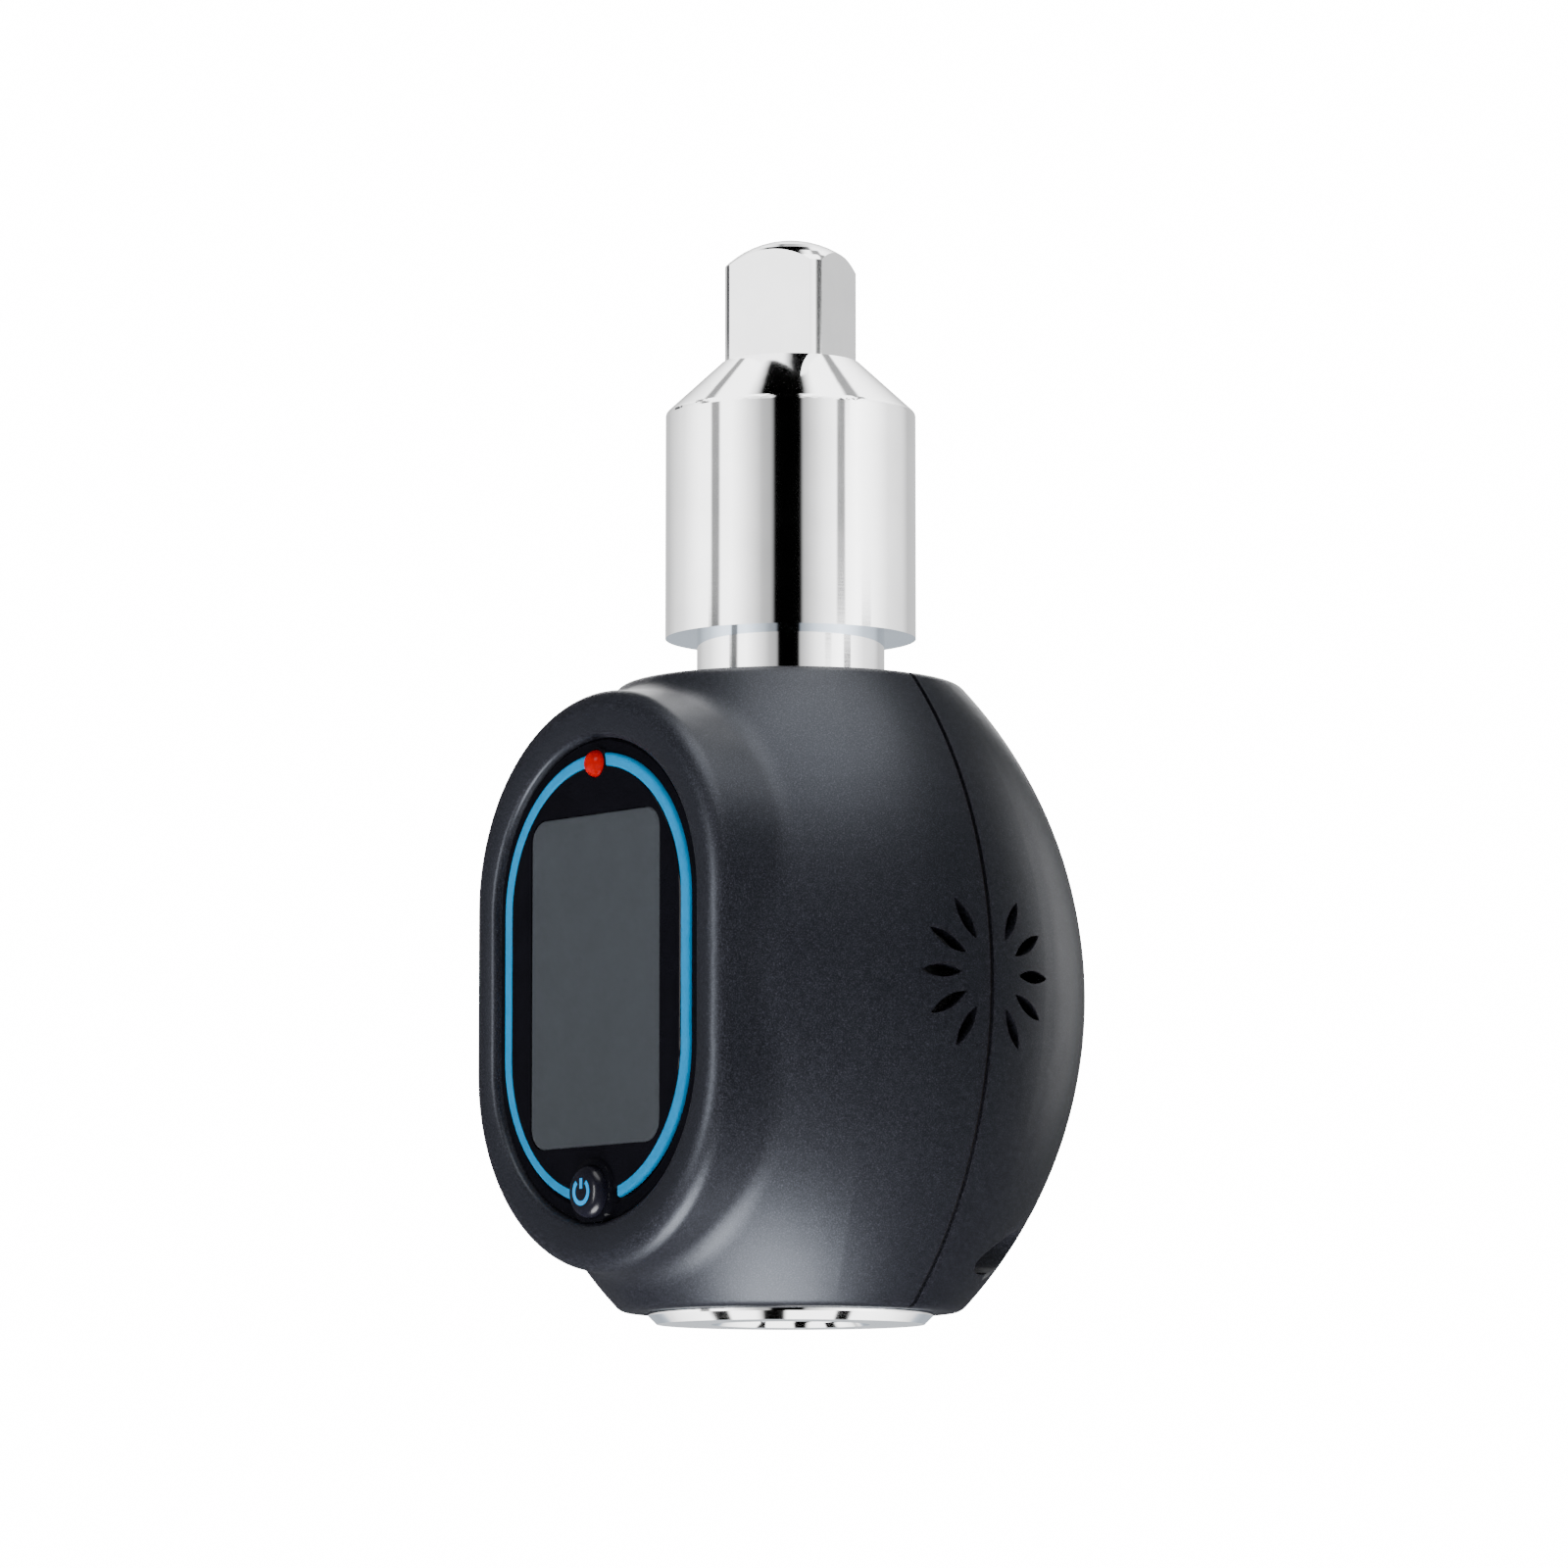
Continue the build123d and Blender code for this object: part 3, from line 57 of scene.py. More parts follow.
Socket = bpy.types.NodeSocket
Material = bpy.types.Material
Mesh = bpy.types.Mesh
Piece = bpy.types.Object
Shell = bmesh.types.BMesh
Colour = tuple[float, float, float]
Limits = tuple[float, float]

MM = 0.001
# Corners this close together are one corner, and edges this short are dissolved.
SAME_PLACE = 0.0005 * MM
SLIVER = 0.0002 * MM
# Degrees between faces from which an edge stays sharp.
CREASE = 28.0
# How far large faces lead in the shading of a corner that they share with small ones.
# At 50 they lead by their area alone.
FLAT_LEAD = 60
UPRIGHT = (radians(90), 0.0, 0.0)
UP = Vector((0, 0, 1))


class Body(Enum):
    """The rigid bodies that new pieces ride on."""

    ADAPTER = "adapter"
    BUTTON = "button"


class Slot(Enum):
    """The record's material slot names, which no piece in this script is given."""

    SHAFT = "shaft"
    HOUSING = "housing"
    BEZEL = "bezel"
    ACCENT = "accent"
    LENS = "lens"
    KEY = "key_plastic"
    LAMP = "lamp"
    STEEL = "steel"


class Grain(Enum):
    """Directions in which a metal's fine finishing marks run."""

    ROUND = "round"
    NONE = "none"


class Nodes:
    """A node tree, with short calls that add and join its nodes."""

    start = "ShaderNode"

    def __init__(self, tree: bpy.types.NodeTree) -> None:
        """Takes the tree to build in."""
        self.tree = tree

    def put(self, source: object, socket: Socket) -> None:
        """Joins a socket to another, or sets it to a value.

        Args:
            source: the other socket, or the value.
            socket: the input that gets it.
        """
        if isinstance(source, Socket):
            self.tree.links.new(source, socket)
        else:
            socket.default_value = source

    def add(
        self,
        kind: str,
        *sources: object,
        out: int | str = 0,
        options: dict[str, str] | None = None,
        **inputs: object,
    ) -> Socket:
        """Adds a node.

        Args:
            kind: the node's type, without its start where that is the tree's own.
            sources: what its first inputs get, in their order.
            out: the output that is wanted.
            options: the node's own settings.
            inputs: what the inputs of these names get, with _ for spaces. A list joins
                several sockets to one input.

        Returns:
            The output.
        """
        node = self.tree.nodes.new(kind if "Node" in kind else self.start + kind)
        for label, value in (options or {}).items():
            setattr(node, label, value)
        pairs = list(zip(node.inputs, sources))
        pairs += [(node.inputs[label.replace("_", " ")], value) for label, value in inputs.items()]
        for socket, value in pairs:
            for source in value if isinstance(value, list) else [value]:
                self.put(source, socket)
        return node.outputs[out]

    def maths(self, kind: str, *sources: object) -> Socket:
        """Works out a number from sockets or numbers by the operation of that name."""
        return self.add("ShaderNodeMath", *sources, options={"operation": kind})


class Graph(Nodes):
    """A material's node tree, with short calls for what every finish needs."""

    def __init__(self, name: str) -> None:
        """Starts a material with a Principled BSDF and Object coordinates.

        Args:
            name: the material's name.
        """
        self.material = bpy.data.materials.new(name)
        self.material.use_nodes = True
        super().__init__(self.material.node_tree)
        self.shader = self.tree.nodes["Principled BSDF"]
        self.place = self.add("TexCoord", out="Object")

    def surface(self, **values: object) -> Material:
        """Sets or feeds the shader's own sockets.

        Args:
            values: values or sockets by name, with _ for spaces.

        Returns:
            The material.
        """
        for name, value in values.items():
            self.put(value, self.shader.inputs[name.replace("_", " ")])
        return self.material

    def show(self, shader: Socket) -> Material:
        """Ends the tree in this shader and returns the material."""
        self.put(shader, self.tree.nodes["Material Output"].inputs["Surface"])
        return self.material

    def noise(
        self, grain: float, detail: float = 2.0, rough: float = 0.5, place: Socket | None = None
    ) -> Socket:
        """Makes noise of this grain in metres, over this place or the object's own."""
        sizes = {"Scale": 1.0 / grain, "Detail": detail, "Roughness": rough}
        return self.add("TexNoise", out="Fac", Vector=place or self.place, **sizes)

    def ramp(
        self, source: Socket, stops: list[tuple[float, Colour]], between: str = "LINEAR"
    ) -> Socket:
        """Gives values their colours.

        Args:
            source: the value to read.
            stops: places from 0 to 1, each with its colour.
            between: how colours run from stop to stop.

        Returns:
            The colour.
        """
        colour = self.add("ValToRGB", Fac=source)
        scale = colour.node.color_ramp
        scale.interpolation = between
        while len(scale.elements) < len(stops):
            scale.elements.new(0.5)
        for element, (position, shade) in zip(scale.elements, stops):
            element.position = position
            element.color = (*shade, 1.0)
        return colour

    def span(self, source: Socket, low: float, high: float) -> Socket:
        """Stretches a value from 0 to 1 between two limits."""
        return self.add("MapRange", Value=source, To_Min=low, To_Max=high)

    def bump(self, source: Socket, height: float, strength: float) -> Socket:
        """Turns the normal by a pattern of this full height in metres, at this strength."""
        return self.add("Bump", Height=source, Distance=height, Strength=strength)


class Sky(Nodes):
    """Brightness by direction, built in the node tree of a surround."""

    def __init__(self, tree: bpy.types.NodeTree, way: Socket, toward: Vector, right: Vector) -> None:
        """Starts with a direction and finds how far it points ahead, aside and up.

        Args:
            tree: the node tree to build in.
            way: the unit direction, from the middle outwards.
            toward: level direction to the camera.
            right: level direction to the camera's right.
        """
        super().__init__(tree)
        self.way, self.toward, self.right = way, toward, right
        self.ahead, self.aside, self.up = map(self.along, (toward, right, UP))

    def along(self, axis: Vector) -> Socket:
        """Finds how far the direction points along an axis."""
        return self.add("VectorMath", self.way, axis, out="Value", options={"operation": "DOT_PRODUCT"})

    def fade(self, source: object, start: float, end: float) -> Socket:
        """Rises smoothly from 0 at the start to 1 at the end, which may lie below the start."""
        smooth = {"interpolation_type": "SMOOTHSTEP"}
        return self.add("MapRange", options=smooth, Value=source, From_Min=start, From_Max=end)

    def blend(self, share: object, one: object, other: object) -> Socket:
        """Goes from one number to the other as the share goes from 0 to 1."""
        return self.add("Mix", Factor=share, A=one, B=other)

    def product(self, first: Socket, *others: Socket) -> Socket:
        """Multiplies shares.

        Args:
            first: the first share.
            others: all others.

        Returns:
            Their product.
        """
        for other in others:
            first = self.maths("MULTIPLY", first, other)
        return first


def stand(name: str, data: bpy.types.ID) -> Piece:
    """Makes an object and stands it in the scene.

    Args:
        name: the object's name.
        data: its mesh, light or camera.

    Returns:
        The object.
    """
    piece = bpy.data.objects.new(name, data)
    bpy.context.scene.collection.objects.link(piece)
    return piece


@contextmanager
def shaping(target: Mesh, *sources: Mesh) -> Iterator[Shell]:
    """Opens meshes for editing and writes the result at the end.

    Args:
        target: the mesh that gets the result.
        sources: the meshes to start from.

    Yields:
        The editable mesh.
    """
    shell = bmesh.new()
    for source in sources:
        shell.from_mesh(source)
    yield shell
    shell.to_mesh(target)
    shell.free()


def evaluated(piece: Piece) -> Mesh:
    """Turns an object and its modifiers into a plain mesh, and removes the modifiers.

    Args:
        piece: the object.

    Returns:
        The mesh.
    """
    bpy.context.view_layer.update()
    depsgraph = bpy.context.evaluated_depsgraph_get()
    mesh = bpy.data.meshes.new_from_object(piece.evaluated_get(depsgraph))
    piece.modifiers.clear()
    return mesh


@dataclass(frozen=True)
class FlakePaint:
    """Dark satin paint with a fine metallic grain over a moulded shell."""

    name: str = "charcoal_flake_paint"
    shade: Colour = (0.0025, 0.0025, 0.0040)
    flake: Colour = (0.026, 0.027, 0.036)
    flake_size: float = 0.16 * MM
    grain_size: float = 0.28 * MM
    cloud_size: float = 9.0 * MM
    skin_height: float = 0.008 * MM
    gloss: float = 0.42
    shine: float = 0.32
    tint: tuple[float, float, float, float] = (0.80, 0.87, 1.0, 1.0)

    def build(self) -> Material:
        """Makes the material.

        Returns:
            Paint whose colour, roughness and skin vary as sprayed paint does.
        """
        graph = Graph(self.name)
        mid = tuple((2 * a + b) / 3 for a, b in zip(self.shade, self.flake))
        stops = [(0.40, self.shade), (0.60, mid), (0.78, self.flake)]
        cloud = graph.noise(self.cloud_size, 3.0)
        return graph.surface(
            Base_Color=graph.ramp(graph.noise(self.flake_size, 1.0, 0.6), stops),
            Roughness=graph.span(cloud, self.gloss - 0.04, self.gloss + 0.06),
            Normal=graph.bump(graph.noise(self.grain_size, 2.0, 0.6), self.skin_height, 0.7),
            Specular_IOR_Level=self.shine,
            Specular_Tint=self.tint,
        )


@dataclass(frozen=True)
class BrightMetal:
    """Bright metal, with faint turning marks or an even grain."""

    name: str
    shade: Colour
    gloss: float
    grain: Grain = Grain.NONE
    mark_size: float = 0.25 * MM
    mark_depth: float = 0.0015 * MM
    mark_shape: tuple[float, float, float] = (0.02, 0.02, 1.0)
    cloud_size: float = 6.0 * MM
    dulling: float = 0.94

    def build(self) -> Material:
        """Makes the material.

        Returns:
            Metal, its marks running round the Z axis or even all over.
        """
        graph = Graph(self.name)
        place = graph.place
        if self.grain is Grain.ROUND:
            place = graph.add("Mapping", Vector=place, Scale=self.mark_shape)
        marks = graph.noise(self.mark_size, 3.0, 0.6, place)
        cloud = graph.noise(self.cloud_size, 3.0)
        dull = tuple(self.dulling * value for value in self.shade)
        return graph.surface(
            Base_Color=graph.ramp(cloud, [(0.35, dull), (0.62, self.shade)]),
            Roughness=graph.span(cloud, self.gloss * 0.8, self.gloss * 1.5),
            Normal=graph.bump(marks, self.mark_depth, 0.35),
            Metallic=1.0,
        )


@dataclass(frozen=True)
class Moulding:
    """Moulded plastic or rubber, with a fine skin."""

    name: str
    shade: Colour
    gloss: float
    spread: float = 0.12
    shine: float = 0.5
    cloud_size: float = 4.0 * MM
    skin_size: float = 0.35 * MM
    skin_height: float = 0.01 * MM

    def build(self) -> Material:
        """Makes the material.

        Returns:
            Plastic with a slight cloudiness in colour and gloss.
        """
        graph = Graph(self.name)
        cloud = graph.noise(self.cloud_size, 3.0)
        low = tuple(value * (1.0 - self.spread) for value in self.shade)
        high = tuple(min(1.0, value * (1.0 + self.spread)) for value in self.shade)
        return graph.surface(
            Base_Color=graph.ramp(cloud, [(0.3, low), (0.7, high)]),
            Roughness=graph.span(cloud, self.gloss * 0.9, self.gloss * 1.1),
            Normal=graph.bump(graph.noise(self.skin_size), self.skin_height, 0.4),
            Specular_IOR_Level=self.shine,
        )


@dataclass(frozen=True)
class LitPlastic:
    """Clear coloured plastic that glows a little, as a lamp's dome does."""

    name: str = "lamp_dome"
    shade: Colour = (0.42, 0.0004, 0.0008)
    glow: float = 0.12
    cloud_size: float = 1.2 * MM
    deepening: float = 0.7

    def build(self) -> Material:
        """Makes the material.

        Returns:
            Gloss plastic, slightly cloudy in its colour and its glow.
        """
        graph = Graph(self.name)
        deep = tuple(self.deepening * value for value in self.shade)
        stops = [(0.3, deep), (0.7, self.shade)]
        colour = graph.ramp(graph.noise(self.cloud_size, 1.0), stops)
        graph.surface(Base_Color=colour, Emission_Color=colour, Emission_Strength=self.glow)
        return graph.surface(Roughness=0.2, Specular_IOR_Level=0.12)


@dataclass(frozen=True)
class StripedFilm:
    """Film or rubber with fine stripes side by side along X."""

    name: str
    base: Colour
    stripe: Colour
    pitch: float
    gloss: float = 0.35
    cloud_size: float = 2.0 * MM
    stripe_height: float = 0.01 * MM

    def build(self) -> Material:
        """Makes the material.

        Returns:
            Film with even stripes, a little raised.
        """
        graph = Graph(self.name)
        # The wave texture turns by 20 radians over a length of one at a scale of one.
        scale = 2 * pi / 20.0 / self.pitch
        bands = graph.add("TexWave", out="Fac", Vector=graph.place, Scale=scale)
        cloud = graph.noise(self.cloud_size)
        return graph.surface(
            Base_Color=graph.ramp(bands, [(0.42, self.base), (0.58, self.stripe)]),
            Roughness=graph.span(cloud, self.gloss * 0.8, self.gloss * 1.2),
            Normal=graph.bump(bands, self.stripe_height, 0.5),
        )


@dataclass(frozen=True)
class CellJacket:
    """A dry cell's film, dark with a copper band at its button end, and its steel ends.

    The ends of the film and the start of the band are shares of the cell's length.
    """

    name: str = "cell_jacket"
    film: Colour = (0.018, 0.019, 0.023)
    band: Colour = (0.55, 0.26, 0.11)
    steel: Colour = (0.60, 0.60, 0.58)
    film_start: float = 0.062
    band_start: float = 0.72
    film_end: float = 0.955
    cloud_size: float = 3.0 * MM
    skin_size: float = 0.8 * MM
    skin_height: float = 0.01 * MM

    def build(self, low: float, high: float) -> Material:
        """Makes the material for two cells that stand the opposite way round.

        Args:
            low: height of the pair's lower end.
            high: height of its upper end.

        Returns:
            Film by place along each cell, with steel that reads as metal.
        """
        graph = Graph(self.name)
        place = graph.add("SeparateXYZ", graph.place).node.outputs
        way_up = graph.maths("SIGN", place["X"])
        rise = graph.maths("SUBTRACT", place["Z"], (low + high) / 2)
        share = graph.maths("MULTIPLY", graph.maths("MULTIPLY", rise, way_up), 1.0 / (high - low))
        along = graph.maths("ADD", share, 0.5)
        starts = (0.0, self.film_start, self.band_start, self.film_end)
        shades = (self.steel, self.film, self.band, self.steel)
        bare = ((1, 1, 1), (0, 0, 0), (0, 0, 0), (1, 1, 1))
        return graph.surface(
            Base_Color=graph.ramp(along, list(zip(starts, shades)), "CONSTANT"),
            Metallic=graph.ramp(along, list(zip(starts, bare)), "CONSTANT"),
            Roughness=graph.span(graph.noise(self.cloud_size, 3.0), 0.20, 0.32),
            Normal=graph.bump(graph.noise(self.skin_size), self.skin_height, 0.3),
        )


@dataclass(frozen=True)
class CircuitBoard:
    """Solder-masked board with faint tracks under the mask."""

    name: str = "solder_mask"
    mask: Colour = (0.008, 0.10, 0.035)
    track: Colour = (0.02, 0.19, 0.07)
    net_size: float = 5.0 * MM
    track_share: float = 0.06
    track_height: float = 0.02 * MM

    def build(self) -> Material:
        """Makes the material.

        Returns:
            Board with a brick-like net of tracks.
        """
        graph = Graph(self.name)
        net = graph.add(
            "TexBrick",
            Vector=graph.add("Mapping", Vector=graph.place, Rotation=UPRIGHT),
            Scale=1.0 / self.net_size,
            Mortar_Size=self.track_share,
            Color1=(*self.mask, 1),
            Color2=(*self.mask, 1),
            Mortar=(*self.track, 1),
        ).node.outputs
        relief = graph.bump(net["Fac"], -self.track_height, 0.4)
        return graph.surface(
            Base_Color=net["Color"], Normal=relief, Roughness=0.28, Coat_Weight=0.4
        )


@dataclass(frozen=True)
class SoftBox:
    """One soft light, placed round the middle of the housing.

    The bearing is in degrees to the camera's right, the rise in degrees above the horizon,
    and the radiance is the brightness of its face. The face is an ellipse with the area of a
    rectangle of this width and height.
    """

    name: str
    bearing: float
    rise: float
    reach: float
    width: float
    height: float
    radiance: float

    def build(self, studio: "Studio", receivers: bpy.types.Collection) -> None:
        """Places the light.

        Args:
            studio: the studio whose camera the bearing is measured from.
            receivers: the pieces that it lights.
        """
        data = bpy.data.lights.new(self.name, "AREA")
        data.shape = "ELLIPSE"
        wider = sqrt(4 / pi)
        data.size, data.size_y = self.width * wider, self.height * wider
        data.energy = self.radiance * pi * self.width * self.height
        turn, lift = radians(self.bearing), radians(self.rise)
        level = studio.toward * cos(turn) + studio.right * sin(turn)
        way = level * cos(lift) + UP * sin(lift)
        light = stand(self.name, data)
        light.location = UP * studio.middle + way * self.reach
        light.rotation_euler = (-way).to_track_quat("-Z", "Y").to_euler()
        light.visible_camera = False
        light.light_linking.receiver_collection = receivers


@dataclass(frozen=True)
class Streak:
    """A dark band in the light tent, to the camera's left (side -1) or right (side 1).

    It follows a plane whose normal is given towards the camera, to its right and up. The
    plane stands upright near the horizon and leans as the normal says above it. The band
    runs between two heights of a unit sphere. Its half width, its soft edge, its offset and
    its ends' fading are on that sphere too.
    """

    normal: tuple[float, float, float]
    side: float
    half: float
    edge: float = 0.035
    offset: float = 0.0
    lowest: float = -0.6
    highest: float = 1.1
    fading: float = 0.1
    shade: float = 0.0
    side_edge: Limits = (0.02, 0.06)

    def share(self, sky: Sky, lean: Socket) -> Socket:
        """Masks the band.

        Args:
            sky: the tent's directions.
            lean: how far the plane leans, from 0 near the horizon to 1 at the top.

        Returns:
            One inside the band, zero outside.
        """
        ahead, aside, up = Vector(self.normal).normalized()
        height = sky.maths("MULTIPLY_ADD", lean, up, -self.offset)
        level = sky.along(sky.toward * ahead + sky.right * aside)
        away = sky.maths("ABSOLUTE", sky.maths("ADD", level, height))
        return sky.product(
            sky.fade(away, self.half + self.edge, self.half),
            sky.fade(sky.maths("MULTIPLY", sky.aside, self.side), *self.side_edge),
            sky.fade(sky.up, self.lowest, self.lowest + self.fading),
            sky.fade(sky.up, self.highest, self.highest - self.fading),
        )


@dataclass(frozen=True)
class Flag:
    """The black flag at the camera, which narrows on its way over the top.

    Its half width at the horizon, what it loses of that by the top, its shift to the left
    and the limits of its soft edges are on a unit sphere.
    """

    half: float = 0.24
    narrowing: float = 0.09
    shift: float = 0.045
    sides: Limits = (0.05, -0.04)
    behind: Limits = (-0.80, -0.65)
    foot: Limits = (-0.60, -0.40)

    def share(self, sky: Sky) -> Socket:
        """Masks the flag.

        Args:
            sky: the directions to mask.

        Returns:
            One inside the flag, zero outside.
        """
        above = sky.maths("MAXIMUM", sky.up, 0.0)
        half = sky.maths("MULTIPLY_ADD", above, -self.narrowing, self.half)
        away = sky.maths("ABSOLUTE", sky.maths("ADD", sky.aside, self.shift))
        return sky.product(
            sky.fade(sky.maths("SUBTRACT", away, half), *self.sides),
            sky.fade(sky.ahead, *self.behind),
            sky.fade(sky.up, *self.foot),
        )


# The dark bands: of the barrel, the neck, the square's corners and the flange.
NECK = {"lowest": 0.10, "highest": 0.1465, "fading": 0.002}
HIGH = {"lowest": 0.181, "highest": 0.40, "fading": 0.005}
LOW = {"lowest": -1.2, "highest": -0.5}
STREAKS = (
    Streak((0.677, 0.205, 0.707), -1.0, 0.040, 0.040, shade=0.45),
    Streak((0.610, -0.567, 0.553), 1.0, 0.040, 0.040, lowest=0.144, fading=0.002, shade=0.45),
    Streak((0.970, 0.244, 0.0), -1.0, 0.08, 0.02, **NECK),
    Streak((0.960, -0.281, 0.0), 1.0, 0.08, 0.02, **NECK),
    Streak((0.777, -0.629, 0.0), 1.0, 0.07, **HIGH),
    Streak((0.743, -0.669, 0.0), -1.0, 0.10, **HIGH),
    Streak((0.0, 1.0, 0.0), -1.0, 0.030, 0.02, -0.454, **LOW),
    Streak((0.0, 1.0, 0.0), -1.0, 0.075, 0.08, -0.112, **LOW),
    Streak((0.0, 1.0, 0.0), 1.0, 0.035, 0.02, 0.364, **LOW),
)

# The tent's brightness by bearing, in degrees to the camera's right.
LEFT_SHADES = ((-180, 0.9), (-150, 0.9), (-116, 2.5), (-92, 5.2), (-82, 5.4), (-56, 5.6))
FRONT_SHADES = ((-40, 2.7), (-26, 0.85), (-18, 0.6), (14, 0.9), (22, 1.8), (32, 3.4), (42, 4.6))
RIGHT_SHADES = ((63, 7.0), (81, 5.2), (101, 2.6), (124, 1.9), (136, 0.9), (180, 0.9))
SHADES = LEFT_SHADES + FRONT_SHADES + RIGHT_SHADES


@dataclass(frozen=True)
class Tent:
    """The light tent with the dark bands that bright metal shows.

    Heights and their limits are on a unit sphere.
    """

    radius: float = 6.0
    finer: int = 4
    zenith_level: float = 5.5
    steep: Limits = (0.30, 0.85)
    lean_start: float = 0.2
    below_loss: float = 0.30
    below_hue: Colour = (0.74, 0.86, 1.0)
    below_top: Limits = (0.0, -0.08)
    below_foot: Limits = (-0.5, -0.4)

    def build(self, studio: "Studio", receivers: bpy.types.Collection) -> None:
        """Hangs the tent.

        Args:
            studio: the studio with the camera and the flag.
            receivers: the pieces that it lights.
        """
        mesh = bpy.data.meshes.new("light_tent")
        with shaping(mesh) as shell:
            bmesh.ops.create_icosphere(shell, subdivisions=self.finer, radius=self.radius)
        mesh.materials.append(self.cloth(studio))
        tent = stand("light_tent", mesh)
        tent.visible_camera = False
        tent.visible_shadow = False
        tent.light_linking.receiver_collection = receivers

    def cloth(self, studio: "Studio") -> Material:
        """Makes the tent's glowing cloth, which lets all rays through.

        Args:
            studio: the studio with the camera and the flag.

        Returns:
            The material.
        """
        graph = Graph("tent_cloth")
        way = graph.add("VectorMath", graph.place, options={"operation": "NORMALIZE"})
        sky = Sky(graph.tree, way, studio.toward, studio.right)
        steep = sky.fade(sky.maths("ABSOLUTE", sky.up), *self.steep)
        level = sky.blend(steep, self.level(sky), self.zenith_level)
        rest = 1 - self.lean_start
        high = sky.maths("MAXIMUM", sky.up, self.lean_start)
        lean = sky.maths("MULTIPLY_ADD", high, 1 / rest, -self.lean_start / rest)
        for streak in STREAKS:
            level = sky.blend(streak.share(sky, lean), level, streak.shade)
        level = sky.blend(studio.flag.share(sky), level, 0.0)
        below = sky.product(sky.fade(sky.up, *self.below_top), sky.fade(sky.up, *self.below_foot))
        kept = sky.maths("MULTIPLY_ADD", below, -self.below_loss, 1.0)
        hue = graph.ramp(below, [(0.0, (1, 1, 1)), (1.0, self.below_hue)])
        glow = graph.add("Emission", Color=hue, Strength=sky.maths("MULTIPLY", level, kept))
        return graph.show(graph.add("AddShader", glow, graph.add("BsdfTransparent")))

    @staticmethod
    def level(sky: Sky) -> Socket:
        """Looks up the tent's brightness by bearing.

        Args:
            sky: the tent's directions.

        Returns:
            The brightness.
        """
        # The bearing runs from 0 to 1 for -180 to 180 degrees.
        turn = sky.maths("ARCTAN2", sky.aside, sky.ahead)
        bearing = sky.maths("MULTIPLY_ADD", turn, 0.5 / pi, 0.5)
        curve = sky.add("FloatCurve", Value=bearing)
        mapping = curve.node.mapping
        points = mapping.curves[0].points
        peak = max(shade for _, shade in SHADES)
        for degrees, shade in SHADES[1:-1]:
            points.new(0.5 + degrees / 360.0, shade / peak)
        points[0].location = (0, SHADES[0][1] / peak)
        points[-1].location = (1, SHADES[-1][1] / peak)
        for point in points:
            point.handle_type = "VECTOR"
        mapping.update()
        return sky.maths("MULTIPLY", curve, peak)


